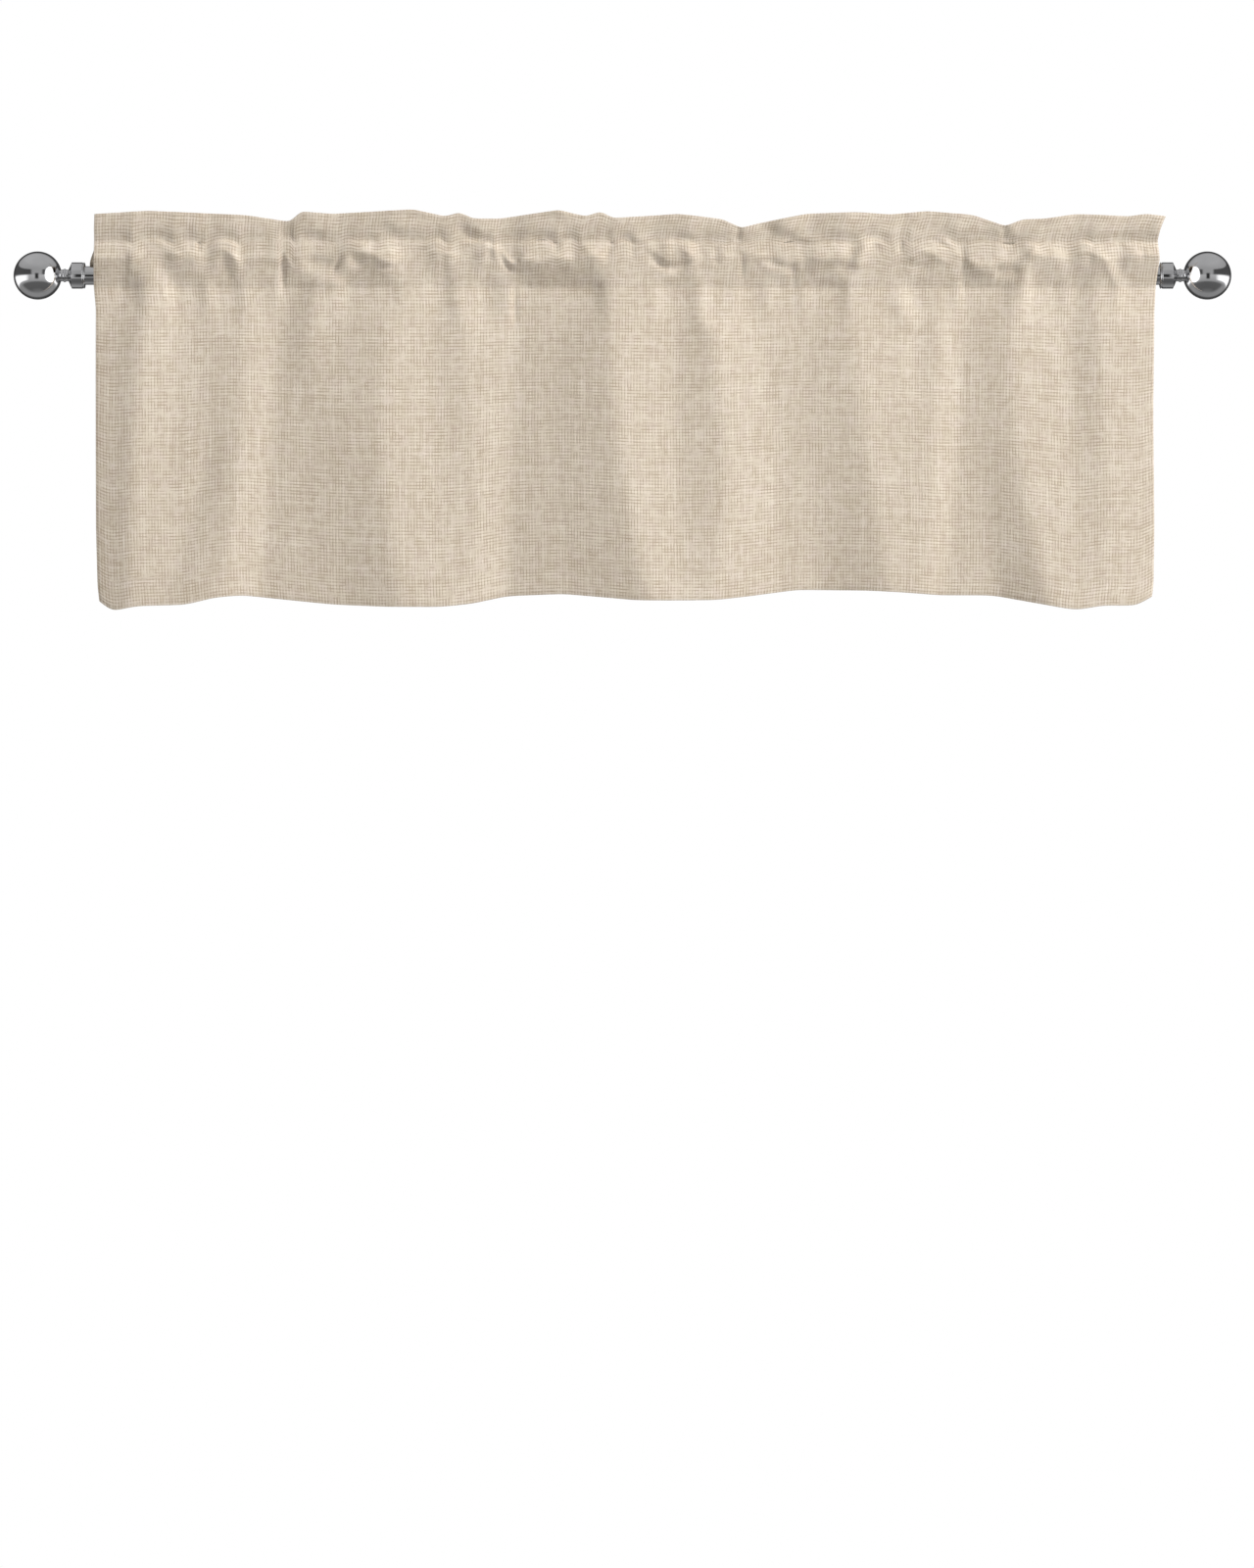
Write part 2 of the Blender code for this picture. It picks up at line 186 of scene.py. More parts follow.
HEADER_TOP = [Rise(*row) for row in (
    ("left end", -622, 71),
    ("flat", -560, 74.5),
    ("slope", -446, 69.5),
    ("step foot", -394, 62),
    ("step head", -382, 74),
    ("saddle", -346, 71),
    ("swell", -250, 76),
    ("dip", -212, 68),
    ("nub", -196, 73),
    ("hollow", -180, 65.5),
    ("low back", -150, 65.5),
    ("peak", -80, 75.5),
    ("dip", -48, 68),
    ("nub", -31, 74),
    ("hollow", -16, 66),
    ("mild swell", 60, 71),
    ("shoulder", 112, 65),
    ("first notch", 138, 54.5),
    ("notch side", 156, 60),
    ("shoulder", 212, 71.5),
    ("swell", 270, 73),
    ("saddle", 308, 70.5),
    ("swell", 352, 74.5),
    ("shoulder", 404, 70),
    ("second notch", 448, 56.5),
    ("notch side", 464, 64.5),
    ("saddle", 492, 65.5),
    ("shoulder", 526, 71),
    ("dip", 588, 68),
    ("flare", 608, 71),
    ("right end", 639, 67),
)]


HEM_LINE = [Rise(*row) for row in (
    ("left edge", -619, -388),
    ("left corner", -609, -397),
    ("first crest", -580, -390),
    ("first flank", -520, -388.5),
    ("slack", -486, -380),
    ("slack edge", -452, -377),
    ("first valley", -419, -380.5),
    ("broad rise", -345, -388),
    ("second crest", -279, -391),
    ("second flank", -216, -391),
    ("shallow step", -178, -387),
    ("second valley", -138, -378),
    ("steep rise", -70, -375.5),
    ("third crest", 18, -383.5),
    ("third flank", 62, -383.5),
    ("small crest", 112, -383),
    ("long fall", 150, -378.5),
    ("third valley", 208, -370.5),
    ("fourth crest", 291, -371.5),
    ("wedge", 338, -374),
    ("fourth valley", 378, -377),
    ("last rise", 440, -377),
    ("last crest", 506, -389),
    ("last flank", 540, -395),
    ("side fold", 574, -389),
    ("right corner", 612, -390),
    ("right edge", 624.5, -382),
)]


class Gather(NamedTuple):
    """A place where the pocket is drawn tight on the rod.

    Its place and half width are in millimetres, and its tightness is from 0 to 1.
    """

    x: float
    half_width: float
    tightness: float


GATHERS = [Gather(*row) for row in (
    (-622, 26, 0.75), (-578, 14, 0.60), (-508, 16, 0.55), (-391, 15, 1.00), (-336, 13, 0.70),
    (-250, 14, 0.55), (-196, 14, 0.75), (-129, 18, 1.00), (-44, 15, 0.80), (17, 14, 0.55),
    (78, 14, 0.50), (138, 18, 1.00), (200, 14, 0.60), (271, 15, 0.75), (330, 14, 0.40),
    (402, 16, 0.85), (450, 17, 1.00), (531, 14, 0.70), (584, 15, 0.50), (632, 24, 0.75),
)]


class Side(NamedTuple):
    """Where the cloth's two side edges run at one height, in millimetres."""

    name: str
    z: float
    left_x: float
    right_x: float


SIDES = [Side(*row) for row in (
    ("hem", -386, -617, 623.5),
    ("above hem", -366, -619, 626),
    ("lower skirt", -300, -620.5, 626.8),
    ("middle", -160, -620.5, 625.2),
    ("upper skirt", -40, -620.5, 626.8),
    ("lower stitches", -14, -623, 628.5),
    ("rod", 0, -623, 630),
    ("pocket", 18, -622.5, 632.5),
    ("upper stitches", 41, -622, 630),
    ("header", 55, -622, 633.5),
    ("header corner", 68, -621.5, 639),
)]


class Pillow(NamedTuple):
    """A stretch of the pocket that puffs out under the upper stitches, in millimetres.

    Its arched top reaches up to z = top in the middle and lies lower by the droop at its sides.
    """

    name: str
    left: float
    right: float
    top: float
    droop: float
    depth: float


PILLOWS = [Pillow(*row) for row in (
    ("end flat", -624, -585, 39, 1, 1),
    ("first arch", -581, -527, 41, 7, 0.8),
    ("tongue", -526, -499, 40, 4, 1),
    ("second arch", -494, -450, 41, 7, 1.2),
    ("easy stretch", -448, -408, 40, 2, 0.6),
    ("pleat head", -404, -390, 44, 2, 0.5),
    ("broad pillow", -388, -337, 39, 3, 1),
    ("small arch", -334, -312, 41, 4, 0.8),
    ("hood", -312, -291, 40, 2, 1.2),
    ("round bulge", -290, -261, 41, 5, 1.2),
    ("narrow flank", -260, -236, 40, 1, 0.3),
    ("third arch", -235, -207, 42, 7, 0.6),
    ("fourth arch", -204, -167, 41, 6, 0.6),
    ("knuckle", -166, -154, 40, 2, 0.5),
    ("swag", -150, -115, 40, 2, 0.8),
    ("wide pillow", -113, -80, 41, 4, 1.6),
    ("fifth arch", -79, -50, 42, 7, 1.6),
    ("pinch", -49, -14, 40, 1, 1),
    ("plump pillow", -11, 13, 41, 5, 0.5),
    ("starred arch", 19, 78, 41, 4, 1.2),
    ("soft pillow", 80, 115, 39, 3, 0.3),
    ("flat pillow", 119, 142, 37, 2, 0.8),
    ("notch pillow", 145, 188, 40, 4, 1.2),
    ("low pillow", 189, 218, 39, 2, 0.5),
    ("long pillow", 222, 272, 39, 3, 1.4),
    ("cone", 275, 317, 42, 7, 0.3),
    ("knot", 319, 338, 42, 4, 0.3),
    ("great arch", 340, 396, 44, 8, 0.8),
    ("drooping pillow", 405, 446, 40, 3, 1.2),
    ("lean pillow", 460, 486, 39, 3, 0.4),
    ("sixth arch", 487, 527, 39, 5, 1),
    ("seventh arch", 529, 556, 40, 5, 0.8),
    ("last pillow", 559, 622, 39, 3, 0.8),
)]


class Brow(NamedTuple):
    """The height z at which the pocket's front stands out furthest at x, in millimetres."""

    x: float
    z: float


BROWS = [Brow(*row) for row in (
    (-622, 20), (-590, 19), (-560, 27), (-545, 24), (-528, 25), (-511, 17), (-496, 24), (-470, 31),
    (-452, 14), (-430, 20), (-402, 18), (-362, 25), (-335, 14), (-309, 28), (-288, 21), (-275, 13),
    (-258, 20), (-225, 27), (-205, 24), (-185, 14), (-154, 33), (-138, 22), (-118, 18), (-96, 13),
    (-78, 21), (-60, 16), (-45, 22), (-28, 20), (2, 20), (32, 30), (54, 14), (69, 30), (88, 18),
    (120, 22), (152, 17), (170, 24), (186, 14), (203, 16), (228, 20), (248, 17), (266, 24),
    (280, 30), (305, 20), (348, 20), (378, 31), (402, 18), (418, 12), (432, 9), (456, 19),
    (476, 24), (500, 21), (524, 19), (546, 28), (570, 16), (600, 23), (634, 22),
)]


class Lean(NamedTuple):
    """How far the header leans out over the stitches at x, in millimetres."""

    x: float
    out: float


LEANS = [Lean(*row) for row in (
    (-622, 3), (-580, 4.5), (-530, 5), (-460, 4), (-425, 3), (-400, 1.5), (-366, 5.5), (-335, 3),
    (-300, 3.5), (-268, 6.5), (-235, 5), (-205, 3.5), (-180, 6.5), (-150, 2), (-105, 5), (-60, 4),
    (-35, 2.5), (-5, 4.5), (30, 1.5), (72, 4), (112, 3.5), (138, 5.5), (160, 3), (186, 6.5),
    (220, 1.5), (262, 5.5), (300, 4), (345, 1), (375, 2), (390, 4.5), (425, 2.5), (452, 6),
    (485, 3.5), (525, 2.5), (560, 4), (600, 4), (634, 5.5),
)]


class Tuck(NamedTuple):
    """A stretch of the lower seam that is drawn in below the rod, in millimetres."""

    name: str
    left: float
    right: float
    depth: float


TUCKS = [Tuck(*row) for row in (
    ("end", -640, -570, 3),
    ("first", -533, -496, 2.6),
    ("second", -484, -453, 2.5),
    ("easy", -442, -416, 1),
    ("pleat", -401, -372, 2),
    ("hood", -332, -266, 2.5),
    ("third", -226, -200, 2),
    ("fourth", -172, -148, 2),
    ("wide", -122, -26, 3.5),
    ("star", 44, 84, 2),
    ("soft", 100, 126, 1),
    ("flat", 141, 166, 1.2),
    ("notch", 179, 211, 2.2),
    ("long", 218, 262, 3.2),
    ("great", 336, 392, 1.6),
    ("drooping", 403, 458, 2.5),
    ("sixth", 480, 519, 2.5),
    ("seventh", 531, 582, 2.2),
    ("last", 590, 640, 3),
)]


class Crease(NamedTuple):
    """A ridge or groove pressed into the cloth, in millimetres, and its turn in degrees from level.

    Its line bends like a parabola, by `bend` at its two ends.
    """

    name: str
    x: float
    z: float
    turn: float
    half_length: float
    half_width: float
    height: float
    bend: float


CREASES = [Crease(*row) for row in (
    ("end groove", -590, -2, 90, 26, 10, -1.6, 0),
    ("end line", -585, 15, 88, 16, 3, -0.5, 0),
    ("first arch rim", -556, 39, 0, 20, 5, 0.9, -9),
    ("first diagonal", -539, 3, -63, 26, 10, -1.5, 0),
    ("tongue", -513, 27, -50, 14, 5, 1, 0),
    ("arch notch", -499, 33, 85, 7, 3, -1.4, 0),
    ("second arch rim", -472, 38, 5, 18, 4, 1.4, -8),
    ("second arch hollow", -468, 11, -70, 17, 7, -1.4, 0),
    ("second tongue", -457, 22, -66, 15, 4, 0.9, 0),
    ("easy line", -432, 22, 0, 26, 6, 0.5, 0),
    ("first valley", -400.5, 4, 90, 20, 3.4, -2.2, 0),
    ("pleat", -409, 28, 88, 16, 9, 2.4, 0),
    ("pleat tail", -394, 16, -62, 10, 3, 0.8, 0),
    ("broad hollow", -359, 14, 0, 18, 9, -3, 0),
    ("broad pillow stroke", -337, 12, 65, 11, 3, -1.7, 0),
    ("broad foot", -346, -9, 0, 18, 8, 2.6, -3),
    ("small arch rim", -316, 37, 5, 16, 3, 0.8, -7),
    ("hood hollow", -313, 17, 0, 8, 8, -3.1, 0),
    ("hood brow", -309, 29, 0, 11, 8, 1.2, 0),
    ("round bulge", -279, 26, 0, 11, 11, 2.3, 0),
    ("bulge rim", -281, 14, 0, 13, 4, 1.8, 9),
    ("bulge groove", -279, 30, 35, 8, 2.5, -1.2, -3),
    ("bulge lip", -275, 7, 0, 14, 3.5, -1.4, 7),
    ("bulge brow", -262, 38, 0, 9, 2.5, 0.6, 0),
    ("third arch rim", -226, 36, 28, 12, 3.5, 1.6, 0),
    ("third arch crease", -210, 10, 90, 26, 7, -1.2, 0),
    ("fourth arch rim", -178, 38, 5, 22, 3.2, 1.0, -9),
    ("knuckle crease", -156, 28, 88, 12, 4, -1.2, 0),
    ("swag side", -149, 27, -80, 14, 3.5, 0.7, 0),
    ("swag groove", -137, 12, -56, 10, 3, -1.1, 0),
    ("swag", -127, 12, 0, 12, 4, 2.6, 10),
    ("second valley", -127, -36, 90, 22, 4, -2.5, 0),
    ("wide pillow edge", -96, 19, 0, 22, 5, 0.4, -3),
    ("fifth notch", -79, 33, 90, 8, 4, -1.2, 0),
    ("fifth arch", -58, 27, 90, 14, 7, -1.4, 0),
    ("pinch left", -41, 29, -45, 12, 4, 1.1, 0),
    ("pinch right", -15, 30, 68, 12, 3, -1.6, 0),
    ("plump crease", 12, 29, 90, 10, 3, -1.2, 0),
    ("star left", 31, 33, -50, 10, 3, 1, 0),
    ("star middle", 53, 30, 90, 9, 6, 1.2, 0),
    ("star side", 79, 26, 85, 11, 7, 2.2, 0),
    ("star hollow", 58, 8, 0, 26, 6, -3.2, 15),
    ("soft crease", 110, 22, 90, 11, 5, -1.4, 0),
    ("flat crease", 141, 10, 90, 14, 3, -1.2, 0),
    ("flat pillow line", 163, 22, -7, 20, 5, 0.9, 2),
    ("notch hollow", 188, 11, -20, 15, 6, -2.2, 0),
    ("notch ridge", 170, 9, -52, 12, 4, 1.2, 0),
    ("notch column", 201, 4, 90, 16, 4, -1.4, 0),
    ("long hollow", 249, 10, 6, 17, 8, -2, -4),
    ("cone crease", 281, 25, 63, 17, 8, 4.6, 0),
    ("cone rim", 296, 39, 0, 12, 4, 1.0, -6),
    ("knot dimple", 328, 33, 80, 7, 3, -1.3, 0),
    ("great arch rim", 366, 45, -12, 26, 4, 0.8, -8),
    ("great arch groove", 379, 34, -40, 18, 4.5, -1.3, -4),
    ("great belly", 366, 24, -24, 18, 5, 1.6, -3),
    ("great hollow", 350, 9, 0, 12, 7, -1.6, 0),
    ("third valley", 402, 4, 90, 30, 3, -1, 0),
    ("drooping rim", 423, 4, 0, 15, 5, 1.4, 16),
    ("deep hollow", 453, 4, 8, 13, 8, -2.8, 0),
    ("lean crease", 455, 30, 72, 15, 7, -2, 0),
    ("lean ridge", 476, 14, 85, 34, 10, 2.8, 0),
    ("sixth arch side", 484, 28, 55, 10, 3, 1.2, 0),
    ("sixth arch dimple", 516, 30, -12, 11, 4, -0.6, 3),
    ("seventh arch rim", 541, 35, 20, 9, 3.5, 1, -3),
    ("seventh arch dimple", 551, 19, 90, 9, 4, -1.2, 0),
    ("long diagonal", 571, 10, -62, 30, 4, 0.8, 0),
    ("diagonal hollow", 583, 12, -60, 14, 6, -1, 0),
    ("last dimple", 613, 24, 90, 7, 3, -1.2, 0),
    ("step hollow", -366, 45, 0, 12, 6, -1.6, 0),
    ("arch hollow", -272, 50, -20, 16, 7, -2, 0),
    ("header brim", -245, 75, -8, 20, 6, 2, 0),
    ("nub hollow", -178, 47, -25, 18, 7, -2.2, 0),
    ("wide tuck", -97, 44, 0, 16, 5, -1.4, 0),
    ("peak brim", -76, 75, -18, 16, 7, 2, 0),
    ("plump tuck", 3, 43, -10, 9, 4, -1.2, 0),
    ("header dimple", 20, 42, 0, 7, 3.5, 1.6, 0),
    ("star brow", 73, 43, -8, 14, 3.5, -1.4, -3),
    ("notch groove", 137, 48, 90, 9, 5, -1.6, 0),
    ("notch fold", 184, 48, -25, 20, 7, -2.2, 0),
    ("header pucker", 219, 42, 0, 12, 4.5, 1.8, 0),
    ("saddle fold", 322, 62, 30, 16, 6, -1.4, 0),
    ("second notch groove", 450, 48, 88, 10, 5, -2, 0),
    ("shoulder fold", 512, 66, 20, 14, 5, 1.4, 0),
    ("flare", 630, 57, 80, 14, 6, 1.2, 0),
    ("crest bend", 120, -66, 84, 44, 13, 1, 0),
    ("bright patch", -369, -70, 90, 58, 20, 2.2, 0),
    ("slack crease", -504, -270, 73, 86, 13, -2.4, 0),
    ("wedge hollow", 349, -80, 90, 64, 16, -1.6, 0),
    ("second lobe", -191, -43, -70, 34, 10, 1.1, 0),
    ("third lobe", 100, -62, -41, 22, 12, 1.6, 0),
    ("great lobe", 331, -42, -58, 27, 12, 1.6, 4),
)]

# Rod and finials
ROD_RADIUS = 11 * MM
ROD_WALL = 0.8 * MM
ROD_HALF = 646.4 * MM
CAP_START = 634.4 * MM
BALL_RADIUS = 28.4 * MM
BALL_CENTRE = 690.6 * MM
NECK_START = CAP_START + 19.8 * MM
NECK_RADIUS = 6.95 * MM
NECK_RING = 0.9 * MM
RING_FOOT = 1.8 * MM  # half widths of the ring at its foot and at its top
RING_TOP = 0.8 * MM
NECK_EASE = 0.5 * MM
CAP_EASE = 0.35 * MM
LATHE_STEPS = 96
BALL_STEPS = 56
CORNER_STEPS = 4
CORNER_SHARE = 0.45
SHARP_ANGLE = math.radians(50)
MERGE_DISTANCE = 0.001 * MM

# Stitches
STITCH_PITCH = 3.6 * MM
STITCH_LENGTH = 2.9 * MM
BARE_STITCHES = 2  # stitches left out at each end of a row
THREAD_RADIUS = 0.24 * MM
THREAD_LIFT = 0.1 * THREAD_RADIUS  # how far a stitch's middle line stands off the cloth's face
THREAD_SIDES = 5
# Places along half a stitch, and the radius there as a share of the thread's
THREAD_SHAPE = ((-1.0, 0.3), (-0.7, 0.9), (0.7, 0.9), (1.0, 0.3))

# Weave. A noise's numbers are its layer, its scale across and along, and its detail.
THREAD_PITCH = 3.8 * MM
WANDER = 2.2 * MM
WANDER_NOISE = (31.0, 9.0, 9.0)
WARP_NOISE = (3.0, 17.31, 16.0)
WEFT_NOISE = (8.0, 23.17, 12.0)
SET_NOISE = (5.0, 60.0, 75.0)
STRENGTH_NOISE = (1.0, 80.0, 80.0)
WARP_SLUB_NOISE = (41.0, 13.7, 90.0)
WEFT_SLUB_NOISE = (46.0, 19.3, 80.0)
BLOTCH_NOISE = (12.0, 30.0, 30.0, 3.0)
TINT_NOISE = (21.0, 60.0, 60.0, 2.0)
# Between which two of its values each noise goes from nothing to its full effect
SET_RANGE = (0.4, 0.6)
STRENGTH_RANGE = (0.34, 0.6)
SLUB_RANGE = (0.5, 0.62)
TINT_RANGE = (0.4, 0.7)
PICKED_SHARE = 0.35  # weight of the set of threads that shows
BOTH_SHARE = 0.25  # and of both sets together
PINHOLE_START = 0.8
PINHOLE_DEPTH = 1.2
# How far each part changes the shade
LINE_SHADE = 0.34
WARP_SHADE = 0.5
WEFT_SHADE = 0.45
BLOTCH_SHADE = 0.05
SLUB_SHADE = 0.6
MIDDLE_SHADE = 0.575
THREAD_HEIGHT = 0.35

# View, in photo pixels of the 1280 x 1600 frame
PIXEL = 1.157 * MM
FRAME_HEIGHT = 1600 * PIXEL
VIEW_X = 5.4 * MM
VIEW_Z = -600.3 * MM
VIEW_DISTANCE = 9.0
SENSOR = 36.0

# Stage
FLOOR_Z = -2.1
FLOOR_RADIUS = 3.2
FLOOR_STEPS = 96
SOFT_LIGHT = 0.42  # grey that falls on everything but the chrome
# Greys of the studio in the chrome, by height from straight down at 0 to straight up at 1
STUDIO = (
    (0.0, 0.20), (0.05, 0.13), (0.22, 0.14), (0.27, 0.42), (0.48, 0.62), (0.53, 0.46), (0.75, 0.44),
    (0.9, 0.54),
)
# and of the patches that lie over it
GROUND_GREY = 0.34
WEDGE_GREY = 0.09
SOFTBOX_GREY = 1.6
REAR_GREY = 0.06
CAMERA_GREY = 0.03


def column(rows, field):
    """One named column of a table, in metres."""
    return np.array([getattr(row, field) for row in rows]) * MM


def softened(x, knots, heights, radius):
    """Straight runs between knots whose corners are rounded off over about the radius.

    The height starts on the first run, and at each inner knot the change of slope comes in with
    the soft ramp radius times ln(1 + exp(distance past the knot / radius)). Knots and heights may
    differ from one row of x to the next.
    """
    slopes = np.diff(heights) / np.diff(knots)
    ramps = np.logaddexp(0, (x[..., None] - knots[..., None, 1:-1]) / radius) * radius
    turns = np.diff(slopes)[..., None, :]
    return heights[..., :1] + slopes[..., :1] * (x - knots[..., :1]) + (ramps * turns).sum(-1)


def line_through(rows, field, x, radius):
    """The softened line through one field of a table, at x."""
    return softened(x, column(rows, "x"), column(rows, field), radius)


def smooth_step(t):
    """0 up to t = 0 and 1 from t = 1 on, with 3 times the square less 2 times the cube between."""
    t = np.clip(t, 0, 1)
    return t * t * (3 - 2 * t)


def upper_of(a, b):
    """The larger of two lengths, rounded off where they cross.

    Half of their sum and of the root of their difference squared plus the blend squared.
    """
    return 0.5 * (a + b + np.sqrt((a - b) ** 2 + SLEEVE_BLEND**2))


def off_rod(out, at_seam, z, rise, radius):
    """Cloth held outside a circle about the rod's axis, which fades next to the two seams."""
    circle = np.sqrt(np.maximum(radius**2 - z**2, 0))
    hold = smooth_step(np.minimum(rise, 1 - rise) / SEAM_ZONE)
    return at_seam + (upper_of(out, circle) - at_seam) * hold


def edge_to_edge(share, z):
    """x of a column at a height: the same share of the width between the two side edges."""
    heights = column(SIDES, "z")
    left = np.interp(z, heights, column(SIDES, "left_x"))
    right = np.interp(z, heights, column(SIDES, "right_x"))
    return left + share * (right - left)


def fold_out(x, drop):
    """How far the folds stand out at x on rows that are the given shares of the drop.

    The parabola through a fold's three values gives those of each row.
    """
    t = np.asarray(drop)[:, None]
    middle = MIDDLE_DROP
    shares = (
        (t - middle) * (t - 1) / middle, t * (1 - t) / (middle * (1 - middle)),
        t * (t - middle) / (1 - middle),
    )
    levels = ("top", "middle", "hem")
    knots = sum(share * column(FOLDS, f"{level}_x") for share, level in zip(shares, levels))
    heights = sum(share * column(FOLDS, f"{level}_out") for share, level in zip(shares, levels))
    return softened(x, knots, heights, FOLD_SOFTNESS)


def at_stitches(out):
    """Folds where they are sewn down: crests stand out nearly in full, valleys less than half."""
    rounded = np.sqrt(out**2 + STITCH_FOLD_BLEND**2) - STITCH_FOLD_BLEND
    return STITCH_FOLD[0] * out + STITCH_FOLD[1] * rounded


def looseness(x):
    """1 where the pocket is puffed up between gathers, 0 where it is tight on the rod.

    The product of what each gather leaves: 1 less its tightness times a bell curve.
    """
    centres = column(GATHERS, "x")
    widths = column(GATHERS, "half_width")
    tightness = np.array([gather.tightness for gather in GATHERS])
    pull = tightness * np.exp(-(((x[:, None] - centres) / widths) ** 2))
    return np.prod(1 - pull, axis=1)


def pillows(x):
    """Depth of the pillows at x, and the height of the wavy line on which their tops end.

    The depth runs straight from the middle of one pillow to the next. A pillow's top falls off as
    the square of the distance from its middle, and the line of all tops is smoothed by a short
    bell curve.
    """
    middles = (column(PILLOWS, "left") + column(PILLOWS, "right")) / 2
    depth = np.interp(x, middles, column(PILLOWS, "depth"))
    top = np.full_like(x, UPPER_STITCH - PILLOW_GAP)
    for pillow in PILLOWS:
        middle = (pillow.left + pillow.right) / 2 * MM
        half = (pillow.right - pillow.left) / 2 * MM
        across = np.clip(np.abs(x - middle) / half, 0, 1)
        top = np.where(across < 1, (pillow.top - pillow.droop * across**2) * MM, top)
    nearby = np.arange(-ARCH_REACH, ARCH_REACH + 1) * (x[-1] - x[0]) / len(x)
    kernel = np.exp(-((nearby / ARCH_SOFTNESS) ** 2))
    padded = np.pad(top, ARCH_REACH, mode="edge")
    return depth, np.convolve(padded, kernel / kernel.sum(), "valid")


def tucks(x):
    """How far the lower seam is drawn in at x: each tuck's depth, with its two ends rounded off."""
    total = np.zeros_like(x)
    for tuck in TUCKS:
        inside = np.minimum(x - tuck.left * MM, tuck.right * MM - x)
        total += tuck.depth * MM * smooth_step(inside / TUCK_EDGE + 0.5)
    return total


def relief(x, z):
    """Height of all creases at x and z.

    Each is a bell curve across its line and flat-topped along it: height times
    exp(-across squared - along to the fourth power).
    """
    total = np.zeros(np.broadcast(x, z).shape)
    for crease in CREASES:
        turn = math.radians(crease.turn)
        dx, dz = x / MM - crease.x, z / MM - crease.z
        along = (dx * math.cos(turn) + dz * math.sin(turn)) / crease.half_length
        off = dz * math.cos(turn) - dx * math.sin(turn) - crease.bend * along**2
        total += crease.height * MM * np.exp(-((off / crease.half_width) ** 2) - along**4)
    return total


def points(x, y, z):
    """Points of the given coordinates, each of them spread over all rows and columns."""
    return np.stack(np.broadcast_arrays(x, y, z), axis=-1)


def crowded_shares(count):
    """Shares of the width from 0 to 1, closer together where upright creases run.

    Each share takes up as much of a density, which is 1 plus a bell curve at each such crease.
    """
    even = np.linspace(0, 1, FINER * count)
    x = edge_to_edge(even, 0)
    density = np.ones_like(x)
    for crease in CREASES:
        if abs(math.sin(math.radians(crease.turn))) > UPRIGHT:
            reach = CROWDING_REACH * crease.half_width * MM
            density += CROWDING * np.exp(-(((x - crease.x * MM) / reach) ** 2))
    laid = np.concatenate([[0], np.cumsum((density[1:] + density[:-1]) / 2)])
    return np.interp(np.linspace(0, laid[-1], count), laid, even)


def dip(above):
    """Groove that a row of stitches pulls into the cloth, by the height above the row."""
    return STITCH_DIP * np.exp(-((above / STITCH_DIP_WIDTH) ** 2))


